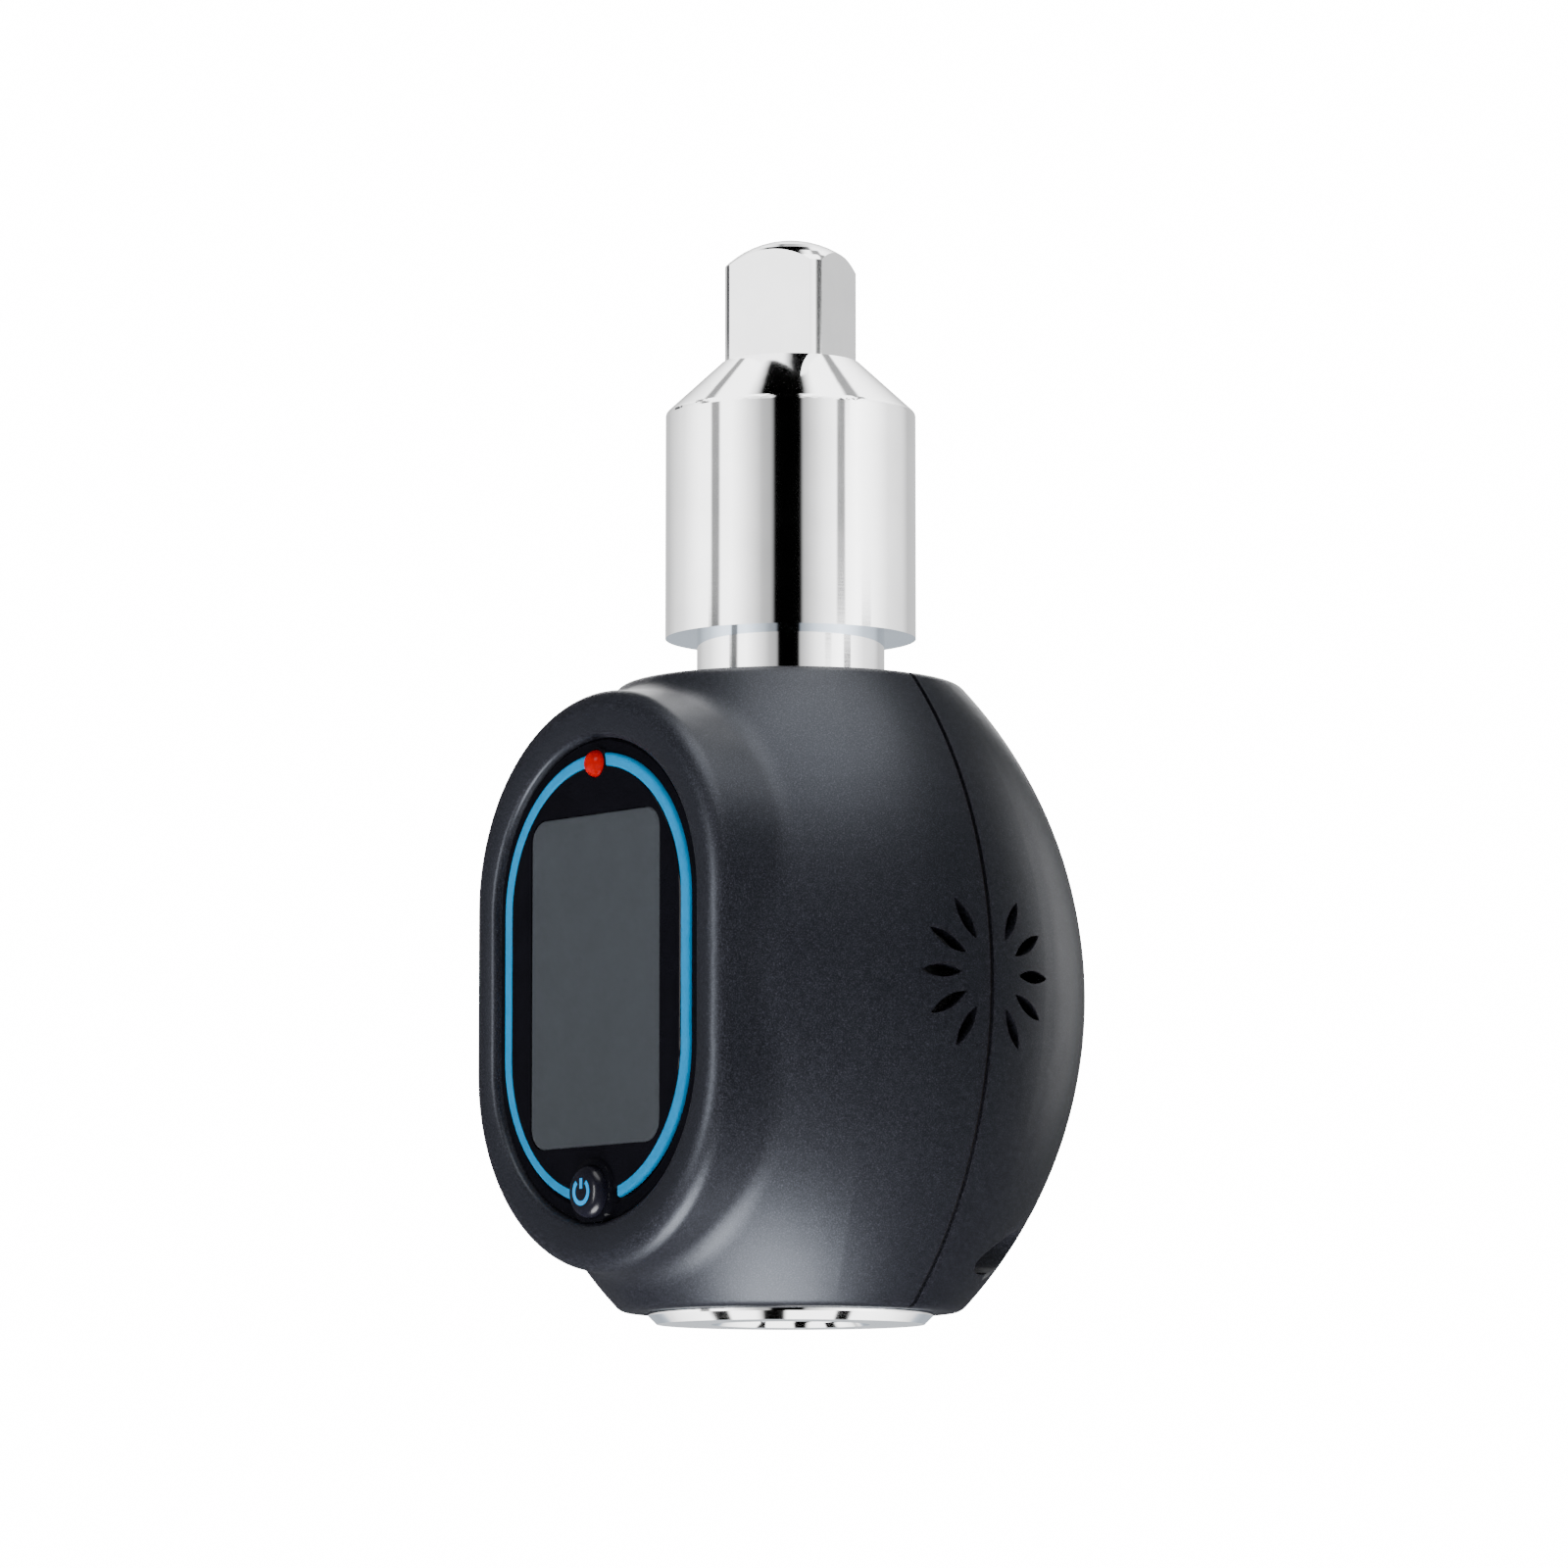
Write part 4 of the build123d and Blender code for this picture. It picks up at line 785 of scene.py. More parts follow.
@dataclass(frozen=True)
class Studio:
    """Camera, light tent, soft lights, backdrop and floor."""

    azimuth: float = 52.0
    distance: float = 0.900
    eye_height: float = -0.0365
    aim_height: float = 0.0648
    aim_right: float = -0.0008
    lens: float = 173.2
    sensor: float = 36.0
    clip: Limits = (0.01, 20.0)
    middle: float = 0.039
    floor_size: float = 3.0
    floor_cloud: float = 0.4
    backdrop: float = 16.0
    ambient: float = 0.16
    ambient_foot: Limits = (-0.6, -0.4)
    ambient_hue: Colour = (0.96, 0.98, 1.0)
    flag: Flag = Flag()
    tent: Tent = Tent()
    painted_lights: tuple[SoftBox, ...] = (
        SoftBox("under_light", -25, -76, 0.55, 0.36, 0.32, 27.0),
        SoftBox("over_light", 20, 70, 0.60, 0.60, 0.45, 6.5),
        SoftBox("shoulder_light", -50, -4, 0.80, 0.10, 0.50, 42.0),
        SoftBox("rim_light", 130, 10, 0.90, 0.35, 0.60, 2.5),
        SoftBox("rear_light", 178, 25, 0.90, 0.45, 0.45, 6.0),
    )
    display_lights: tuple[SoftBox, ...] = (
        SoftBox("display_light", -20, 35, 0.70, 0.30, 0.30, 7.0),
    )

    @property
    def toward(self) -> Vector:
        """Level direction from the shaft to the camera."""
        return Vector((sin(radians(self.azimuth)), -cos(radians(self.azimuth)), 0))

    @property
    def right(self) -> Vector:
        """Level direction to the camera's right."""
        return Vector((cos(radians(self.azimuth)), sin(radians(self.azimuth)), 0))

    def build(self, bright: list[Piece], painted: list[Piece], display: list[Piece]) -> None:
        """Makes the whole studio.

        Args:
            bright: the pieces that the light tent falls on.
            painted: the pieces that the lights of the dark paint fall on.
            display: the pieces that the display's light falls on.
        """
        self.camera()
        self.surround()
        floor = self.floor()
        for lights, pieces, name in (
            ((self.tent,), [*bright, floor], "tent_pieces"),
            (self.painted_lights, painted, "painted_pieces"),
            (self.display_lights, display, "display_pieces"),
        ):
            receivers = bpy.data.collections.new(name)
            for piece in pieces:
                receivers.objects.link(piece)
            for light in lights:
                light.build(self, receivers)

    def camera(self) -> None:
        """Places the camera as the photograph was taken."""
        data = bpy.data.cameras.new("camera")
        data.lens, data.sensor_width = self.lens, self.sensor
        data.clip_start, data.clip_end = self.clip
        camera = stand("camera", data)
        eye = self.toward * self.distance + UP * self.eye_height
        aim = self.right * self.aim_right + UP * self.aim_height
        camera.location = eye
        camera.rotation_euler = (aim - eye).to_track_quat("-Z", "Y").to_euler()
        bpy.context.scene.camera = camera

    def surround(self) -> None:
        """Makes a white backdrop that lights the pieces only dimly."""
        world = bpy.data.worlds.new("surround")
        world.use_nodes = True
        bpy.context.scene.world = world
        tree = world.node_tree
        tree.nodes.clear()
        way = tree.nodes.new("ShaderNodeTexCoord").outputs["Generated"]
        sky = Sky(tree, way, self.toward, self.right)
        above = sky.maths("MULTIPLY", sky.fade(sky.up, *self.ambient_foot), self.ambient)
        level = sky.blend(self.flag.share(sky), above, 0.0)
        dim = sky.add("Background", Color=(*self.ambient_hue, 1), Strength=level)
        seen = sky.add("Background", Color=(1, 1, 1, 1), Strength=self.backdrop)
        rays = sky.add("LightPath", out="Is Camera Ray")
        mixed = sky.add("MixShader", rays, dim, seen)
        sky.put(mixed, tree.nodes.new("ShaderNodeOutputWorld").inputs["Surface"])

    def floor(self) -> Piece:
        """Lays a pale floor under the flange, open to a camera below it.

        Returns:
            The floor.
        """
        graph = Graph("pale_floor")
        shades = [(0.3, (0.86, 0.86, 0.87)), (0.7, (0.9, 0.9, 0.9))]
        graph.surface(Base_Color=graph.ramp(graph.noise(self.floor_cloud), shades), Roughness=0.6)
        under = graph.add("NewGeometry", out="Backfacing")
        clear = graph.add("BsdfTransparent")
        graph.show(graph.add("MixShader", under, graph.shader.outputs[0], clear))
        mesh = bpy.data.meshes.new("floor")
        half = self.floor_size / 2
        corners = [(-half, -half, 0), (half, -half, 0), (half, half, 0), (-half, half, 0)]
        mesh.from_pydata(corners, [], [(0, 1, 2, 3)])
        mesh.materials.append(graph.material)
        floor = stand("floor", mesh)
        floor.visible_glossy = False
        floor.visible_shadow = False
        return floor


def finished(node: str, material: Material) -> Piece:
    """Gives a CAD node its finish.

    Args:
        node: the node's name.
        material: the finish.

    Returns:
        The node's object.
    """
    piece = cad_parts[node]
    piece.data.materials.clear()
    piece.data.materials.append(material)
    log.info("%s is finished in %s", node, material.name)
    return piece


def smooth_copy(
    node: str,
    name: str,
    material: Material,
    body: Body = Body.ADAPTER,
    crease: float = CREASE,
) -> Piece:
    """Stands a merged, smoothly shaded copy of a CAD node in for it.

    Args:
        node: the node's name.
        name: the new piece's name.
        material: the finish.
        body: the body that it rides on.
        crease: degrees between faces from which an edge stays sharp.

    Returns:
        The new piece.
    """
    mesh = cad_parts[node].data.copy()
    mesh.name = name
    with shaping(mesh, mesh) as shell:
        bmesh.ops.remove_doubles(shell, verts=shell.verts, dist=SAME_PLACE)
        bmesh.ops.dissolve_degenerate(shell, edges=shell.edges, dist=SLIVER)
    mesh.materials.clear()
    mesh.materials.append(material)
    return settle(mesh, name, body, (node,), crease)


def settle(
    mesh: Mesh,
    name: str,
    body: Body = Body.ADAPTER,
    replaced: tuple[str, ...] = (),
    crease: float = CREASE,
) -> Piece:
    """Links a finished mesh as a piece, hangs it on its body and hides the CAD nodes it stands for.

    Args:
        mesh: the finished mesh, with its place in it.
        name: the piece's name.
        body: the body that it rides on.
        replaced: CAD nodes that it stands for.
        crease: degrees between faces from which an edge stays sharp.

    Returns:
        The piece.
    """
    mesh.shade_smooth()
    mesh.set_sharp_from_angle(angle=radians(crease))
    piece = stand(name, mesh)
    weighted = piece.modifiers.new("flat_faces_lead", "WEIGHTED_NORMAL")
    weighted.keep_sharp = True
    weighted.weight = FLAT_LEAD
    piece.data = evaluated(piece)
    piece.data.name = name
    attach(piece, body.value)
    if replaced:
        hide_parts(*replaced)
    log.info("%s rides on %s", name, body.value)
    return piece


def reshade(mesh: Mesh, normals: dict[int, Vector]) -> None:
    """Gives some corners of a mesh their own normals.

    Args:
        mesh: the mesh.
        normals: the normals by the number of the face corner.
    """
    shading = [corner.vector.copy() for corner in mesh.corner_normals]
    for loop, normal in normals.items():
        shading[loop] = normal
    mesh.normals_split_custom_set(shading)


def true_flats(mesh: Mesh, least: float) -> None:
    """Shades the large flat faces as truly flat.

    Args:
        mesh: the mesh.
        least: area from which a set of faces in one plane counts as large, in square metres.
    """
    planes: dict[tuple[float, ...], list[bpy.types.MeshPolygon]] = {}
    for face in mesh.polygons:
        along = face.normal
        key = (*(round(part, 3) for part in along), round(along.dot(face.center) / MM, 2))
        planes.setdefault(key, []).append(face)
    normals = {}
    for faces in planes.values():
        if sum(face.area for face in faces) >= least:
            for face in faces:
                normals |= {loop: face.normal.copy() for loop in face.loop_indices}
    reshade(mesh, normals)


class Works(Nodes):
    """A Geometry Nodes tree with named sizes, run once into a plain mesh."""

    start = "GeometryNode"

    def __init__(self, name: str, **sizes: object) -> None:
        """Starts the tree with its named inputs.

        Args:
            name: the name of the tree and of what it makes.
            sizes: the inputs, with _ for spaces in their names.
        """
        super().__init__(bpy.data.node_groups.new(name, "GeometryNodeTree"))
        self.name = name
        sockets = self.tree.interface
        for end in ("INPUT", "OUTPUT"):
            sockets.new_socket("Geometry", in_out=end, socket_type="NodeSocketGeometry")
        self.values = {}
        for label, value in sizes.items():
            kind = "NodeSocket" + {int: "Int", float: "Float"}.get(type(value), "Vector")
            socket = sockets.new_socket(label.replace("_", " "), in_out="INPUT", socket_type=kind)
            self.values[socket.identifier] = value
        self.sizes = self.tree.nodes.new("NodeGroupInput").outputs
        self.end = self.tree.nodes.new("NodeGroupOutput")

    def put(self, source: object, socket: Socket) -> None:
        """Joins a socket to another or to a named size, or sets it to a value.

        Args:
            source: the other socket, the size's name or the value.
            socket: the input that gets it.
        """
        if isinstance(source, str) and source in self.sizes:
            source = self.sizes[source]
        super().put(source, socket)

    def strip(self, width: object, height: object) -> Socket:
        """Draws a rectangle of this width and height."""
        return self.add("CurvePrimitiveQuadrilateral", Width=width, Height=height)

    def drum(self, sides: int, radius: object, depth: object) -> Socket:
        """Makes an upright cylinder of this many sides."""
        return self.add("MeshCylinder", Vertices=sides, Radius=radius, Depth=depth)

    def rounded(self, curve: Socket, radius: object, steps: int) -> Socket:
        """Rounds a curve's corners with arcs of this radius, in this number of steps."""
        return self.add("FilletCurve", curve, options={"mode": "POLY"}, Radius=radius, Count=steps)

    def swept(self, path: Socket, section: Socket, closed: bool = True) -> Socket:
        """Sweeps a section along a path, with closed ends or none."""
        return self.add("CurveToMesh", Curve=path, Profile_Curve=section, Fill_Caps=closed)

    def moved(self, shape: object, **moves: object) -> Socket:
        """Turns or shifts a shape, by Rotation and Translation."""
        return self.add("Transform", Geometry=shape, **moves)

    def row(self, shape: object, count: object, first: object, step: object) -> Socket:
        """Repeats a shape along a straight row.

        Args:
            shape: what is repeated.
            count: how many.
            first: place of the first one.
            step: the way from one to the next.

        Returns:
            The instances.
        """
        by_steps = {"mode": "OFFSET"}
        line = self.add("MeshLine", options=by_steps, Count=count, Start_Location=first, Offset=step)
        return self.add("InstanceOnPoints", Points=line, Instance=shape)

    def run(self, shape: Socket, material: Material) -> Mesh:
        """Ends the tree and turns its result into a plain mesh.

        Args:
            shape: the geometry to finish.
            material: the material that it gets.

        Returns:
            The mesh.
        """
        real = self.add("RealizeInstances", Geometry=shape)
        dressed = self.add("SetMaterial", Geometry=real, Material=material)
        self.put(dressed, self.end.inputs[0])
        carrier = stand(self.name, bpy.data.meshes.new(self.name))
        modifier = carrier.modifiers.new(self.name, "NODES")
        modifier.node_group = self.tree
        for identifier, value in self.values.items():
            modifier[identifier] = value
        mesh = evaluated(carrier)
        bpy.data.objects.remove(carrier)
        mesh.materials.clear()
        mesh.materials.append(material)
        mesh.polygons.foreach_set("material_index", [0] * len(mesh.polygons))
        return mesh


def islands(shell: Shell) -> list[set[bmesh.types.BMVert]]:
    """Finds the separate solids in a merged mesh.

    Args:
        shell: the mesh.

    Returns:
        The corners of each solid.
    """
    seen: set[bmesh.types.BMVert] = set()
    found = []
    for start in shell.verts:
        if start in seen:
            continue
        island, front = {start}, [start]
        while front:
            near = {vert for edge in front.pop().link_edges for vert in edge.verts} - island
            island |= near
            front += near
        seen |= island
        found.append(island)
    return found


def solid_boxes(node: str) -> list[tuple[Vector, Vector]]:
    """Measures each separate solid of a CAD node.

    Args:
        node: the node's name.

    Returns:
        The low and high corner of each solid, the largest solid first.
    """
    shell = bmesh.new()
    shell.from_mesh(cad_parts[node].data)
    bmesh.ops.remove_doubles(shell, verts=shell.verts, dist=SAME_PLACE)
    sides = [list(zip(*(vert.co for vert in island))) for island in islands(shell)]
    shell.free()
    boxes = [(Vector(map(min, side)), Vector(map(max, side))) for side in sides]
    return sorted(boxes, key=lambda box: -(box[1] - box[0]).length)


@dataclass(frozen=True)
class Coil:
    """A wound wire spring."""

    radius: float
    wire: float
    turns: float
    steps: int = 40
    sides: int = 12
    crease: float = 60.0

    def build(
        self,
        name: str,
        material: Material,
        feet: list[Vector],
        axis: Vector,
        height: float,
        replaced: str,
    ) -> Piece:
        """Winds equal springs along one axis.

        Args:
            name: the name of the springs' piece.
            material: the wire's finish.
            feet: where the springs start, one or two places.
            axis: the way from foot to tip.
            height: how far the wire's middle line rises.
            replaced: the CAD node that they stand for.

        Returns:
            The springs' piece.
        """
        works = Works(
            name,
            Count=len(feet),
            First=feet[0],
            Step=feet[-1] - feet[0],
            Turn=Vector(axis.to_track_quat("Z", "Y").to_euler()),
            Coil_radius=self.radius,
            Wire_radius=self.wire,
            Height=height,
            Turns=self.turns,
        )
        path = works.add(
            "CurveSpiral",
            Resolution=self.steps,
            Rotations="Turns",
            Start_Radius="Coil radius",
            End_Radius="Coil radius",
            Height="Height",
        )
        wire = works.add("CurvePrimitiveCircle", Resolution=self.sides, Radius="Wire radius")
        turned = works.moved(works.swept(path, wire), Rotation="Turn")
        mesh = works.run(works.row(turned, "Count", "First", "Step"), material)
        return settle(mesh, name, replaced=(replaced,), crease=self.crease)


@dataclass
class Shaft:
    """The plated shaft with its ball and key."""

    steel: BrightMetal = BrightMetal("plated_steel", (0.80, 0.80, 0.805), 0.055, Grain.ROUND)
    plain_steel: BrightMetal = BrightMetal("bare_steel", (0.56, 0.56, 0.57), 0.22)
    coil: Coil = Coil(1.45 * MM, 0.25 * MM, 4.0)
    spring_seat: float = -1.5 * MM
    ball_travel: float = 0.85 * MM
    crease: float = 20.0
    turned_step: float = 16.0
    least_slope: float = 0.1
    large_flat: float = 100.0 * MM * MM

    def build(self) -> list[Piece]:
        """Dresses the shaft and what is in it.

        Returns:
            The pieces of bright metal.
        """
        bright, plain = self.steel.build(), self.plain_steel.build()
        shaft = smooth_copy("torque_shaft", "shaft_body", bright, crease=self.crease)
        self.turn(shaft.data)
        true_flats(shaft.data, self.large_flat)
        small = [finished(node, plain) for node in ("detent_ball", "shaft_key")]
        return [shaft, self.detent_coil(plain), *small]

    def turn(self, mesh: Mesh) -> None:
        """Shades the turned outer faces as true rounds, so that reflections run straight.

        Args:
            mesh: the shaft's mesh, its axis on Z.
        """
        closest, widest = cos(radians(self.turned_step / 2)), cos(radians(self.turned_step))
        normals = {}
        for face in mesh.polygons:
            level = face.normal.xy
            spokes = [mesh.vertices[index].co.xy.normalized() for index in face.vertices]
            middle = face.center.xy.normalized()
            if level.length < self.least_slope or level.normalized().dot(middle) < closest:
                continue
            if min(one.dot(two) for one in spokes for two in spokes) < widest:
                continue
            for loop, spoke in zip(face.loop_indices, spokes):
                normals[loop] = Vector((*(spoke * level.length), face.normal.z))
        reshade(mesh, normals)

    def detent_coil(self, material: Material) -> Piece:
        """Winds the spring behind the ball.

        Args:
            material: the wire's finish.

        Returns:
            The spring's piece.
        """
        low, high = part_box("detent_ball")
        ball = (low + high) / 2
        axis = Vector((ball.x, ball.y, 0)).normalized()
        foot = self.spring_seat + self.coil.wire
        tip = ball.dot(axis) - (high.z - low.z) / 2 - self.coil.wire
        centre = Vector((0, 0, ball.z)) + axis * foot
        coil = self.coil.build("detent_coil", material, [centre], axis, tip - foot, "detent_spring")
        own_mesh(coil)
        return coil


@dataclass
class Housing:
    """The two painted shells, their gasket, screws and seals."""

    paint: FlakePaint = FlakePaint()
    seal: Moulding = Moulding("seal_rubber", (0.006, 0.006, 0.006), 0.7, shine=0.2)
    screw: BrightMetal = BrightMetal("zinc_screw", (0.50, 0.50, 0.51), 0.30)

    def build(self) -> tuple[list[Piece], list[Piece]]:
        """Dresses the shells and what closes them.

        Returns:
            The dark pieces, then the pieces of bright metal.
        """
        paint, rubber = self.paint.build(), self.seal.build()
        front = smooth_copy("front_housing", "front_shell", paint)
        rear = smooth_copy("rear_cover", "rear_shell", paint)
        seals = ("cover_gasket", "neck_seal", "socket_seal", "window_gasket")
        dark = [front, rear, *(finished(node, rubber) for node in seals)]
        return dark, [finished("cover_screws", self.screw.build())]


@dataclass
class Window:
    """The display's bezel, blue ring, lens and what lies behind them.

    The blue ring's ends are arcs. Their radius is ring_ends times its width, just under half.
    """

    bezel: Moulding = Moulding("gloss_black", (0.002, 0.002, 0.003), 0.14, shine=0.03)
    ring: Moulding = Moulding("blue_ring", (0.0, 0.205, 0.45), 0.38, spread=0.05, shine=0.02)
    face: Moulding = Moulding("display_face", (0.043, 0.048, 0.055), 0.2, spread=0.03, shine=0.1)
    white: Moulding = Moulding("white_moulding", (0.72, 0.72, 0.69), 0.45)
    contact: StripedFilm = StripedFilm(
        "contact_rubber", (0.02, 0.02, 0.02), (0.55, 0.30, 0.28), 0.25 * MM, 0.6
    )
    ring_band: float = 1.65 * MM
    ring_round: float = 0.42 * MM
    ring_ends: float = 0.4999
    ring_steps: int = 40
    edge_steps: int = 5
    ring_crease: float = 50.0
    button_gap: float = 4.6 * MM
    lamp_gap: float = 2.1 * MM
    gap_sides: int = 64
    large_flat: float = 60.0 * MM * MM

    def build(self) -> tuple[list[Piece], list[Piece]]:
        """Dresses the window.

        Returns:
            The dark pieces, then the pieces that the display's light falls on.
        """
        bezel = smooth_copy("window_bezel", "bezel_plate", self.bezel.build())
        true_flats(bezel.data, self.large_flat)
        ring = self.swept_ring(self.ring.build())
        face = self.face.build()
        lens = smooth_copy("display_lens", "display_face", face)
        inside = [
            finished("lcd_glass", face),
            finished("lcd_frame", self.white.build()),
            finished("lcd_connectors", self.contact.build()),
        ]
        return [bezel], [ring, lens, *inside]

    def swept_ring(self, material: Material) -> Piece:
        """Sweeps the blue ring round the display, with its gaps at the button and the lamp.

        Args:
            material: the ring's finish.

        Returns:
            The ring's piece.
        """
        low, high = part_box("accent_ring")
        size = high - low
        gaps = []
        for node in ("mode_button", "status_led"):
            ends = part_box(node)
            gaps.append(UP * ((ends[0].z + ends[1].z) / 2))
        works = Works(
            "blue_ring",
            Middle_width=size.x - self.ring_band,
            Middle_height=size.z - self.ring_band,
            End_radius=(size.x - self.ring_band) * self.ring_ends,
            Band=self.ring_band,
            Thickness=size.y,
            Edge_round=self.ring_round,
            Place=(low + high) / 2,
            Button_place=gaps[0],
            Button_gap=self.button_gap,
            Lamp_place=gaps[1],
            Lamp_gap=self.lamp_gap,
        )
        outline = works.strip("Middle width", "Middle height")
        path = works.rounded(outline, "End radius", self.ring_steps)
        section = works.rounded(works.strip("Band", "Thickness"), "Edge round", self.edge_steps)
        band = works.swept(path, section, closed=False)
        placed = works.moved(band, Rotation=UPRIGHT, Translation="Place")
        cutters = []
        for part in ("Button", "Lamp"):
            drum = works.drum(self.gap_sides, part + " gap", 1.0)
            cutters.append(works.moved(drum, Rotation=UPRIGHT, Translation=part + " place"))
        less = {"operation": "DIFFERENCE"}
        cut = works.add("MeshBoolean", options=less, Mesh_1=placed, Mesh_2=cutters)
        mesh = works.run(cut, material)
        return settle(
            mesh, "blue_ring", replaced=("accent_ring",), crease=self.ring_crease
        )


@dataclass
class Controls:
    """The button with its mark, the switch under it and the lamp.

    The mark's bar runs between two shares of the ring's middle radius. The mark reaches into
    the button by its depth times its rise.
    """

    cap: Moulding = Moulding("button_cap", (0.004, 0.004, 0.007), 0.25, shine=0.2)
    mark: Moulding = Moulding("blue_mark", (0.0, 0.30, 0.70), 0.4, shine=0.03)
    lamp: LitPlastic = LitPlastic()
    switch: Moulding = Moulding("switch_plastic", (0.02, 0.02, 0.022), 0.5)
    spacer: Moulding = Moulding("spacer_plastic", (0.5, 0.5, 0.48), 0.5)
    mark_radius: float = 1.65 * MM
    mark_line: float = 0.55 * MM
    mark_rise: float = 0.02 * MM
    mark_depth: float = 4.0
    mark_gap: float = 38.0
    mark_steps: int = 40
    bar: Limits = (0.25, 1.15)

    def build(self) -> tuple[list[Piece], list[Piece]]:
        """Dresses the controls.

        Returns:
            The dark pieces, then the pieces that the display's light falls on.
        """
        cap = smooth_copy("mode_button", "button_cap", self.cap.build(), Body.BUTTON)
        lamp = smooth_copy("status_led", "lamp_dome", self.lamp.build())
        mark = self.power_mark()
        dark = self.switch.build()
        inside = [finished(node, dark) for node in ("switch_body", "switch_plunger")]
        return [cap], [lamp, mark, *inside, finished("led_spacer", self.spacer.build())]

    def power_mark(self) -> Piece:
        """Makes the plain on-off mark on the button, as a thin raised print.

        Returns:
            The mark's piece.
        """
        low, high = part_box("mode_button")
        centre = Vector(((low.x + high.x) / 2, low.y, (low.z + high.z) / 2))
        steps = self.mark_steps
        start, end = radians(90 + self.mark_gap), radians(450 - self.mark_gap)
        middle = self.mark_radius - self.mark_line / 2
        arc = [start + (end - start) * step / steps for step in range(steps + 1)]
        ring = [Vector((middle * cos(a), middle * sin(a))) for a in arc]
        bar = [Vector((0, share * middle)) for share in self.bar]
        mesh = bpy.data.meshes.new("button_mark")
        with shaping(mesh) as shell:
            for route in (ring, bar):
                self.ribbon(shell, route)
            place = Matrix.Translation(centre) @ Matrix.Rotation(radians(90), 4, "X")
            bmesh.ops.transform(shell, matrix=place, verts=shell.verts)
        mesh.materials.append(self.mark.build())
        return settle(mesh, "button_mark", Body.BUTTON)

    def ribbon(self, shell: Shell, route: list[Vector]) -> None:
        """Adds a closed flat ribbon along a route.

        Args:
            shell: the mesh that it joins.
            route: the points of its middle line.
        """
        rows = []
        for index, point in enumerate(route):
            before = route[max(index - 1, 0)]
            after = route[min(index + 1, len(route) - 1)]
            side = (after - before).normalized()
            side = Vector((-side.y, side.x)) * self.mark_line / 2
            places = (point + side, point - side)
            top = [shell.verts.new((p.x, p.y, self.mark_rise)) for p in places]
            foot = [shell.verts.new((p.x, p.y, -self.mark_rise * self.mark_depth)) for p in places]
            rows.append([top[0], top[1], foot[1], foot[0]])
        for one, two in zip(rows, rows[1:]):
            for k in range(4):
                shell.faces.new((one[k], one[(k + 1) % 4], two[(k + 1) % 4], two[k]))
        shell.faces.new(rows[0][::-1])
        shell.faces.new(rows[-1])
        bmesh.ops.recalc_face_normals(shell, faces=shell.faces)


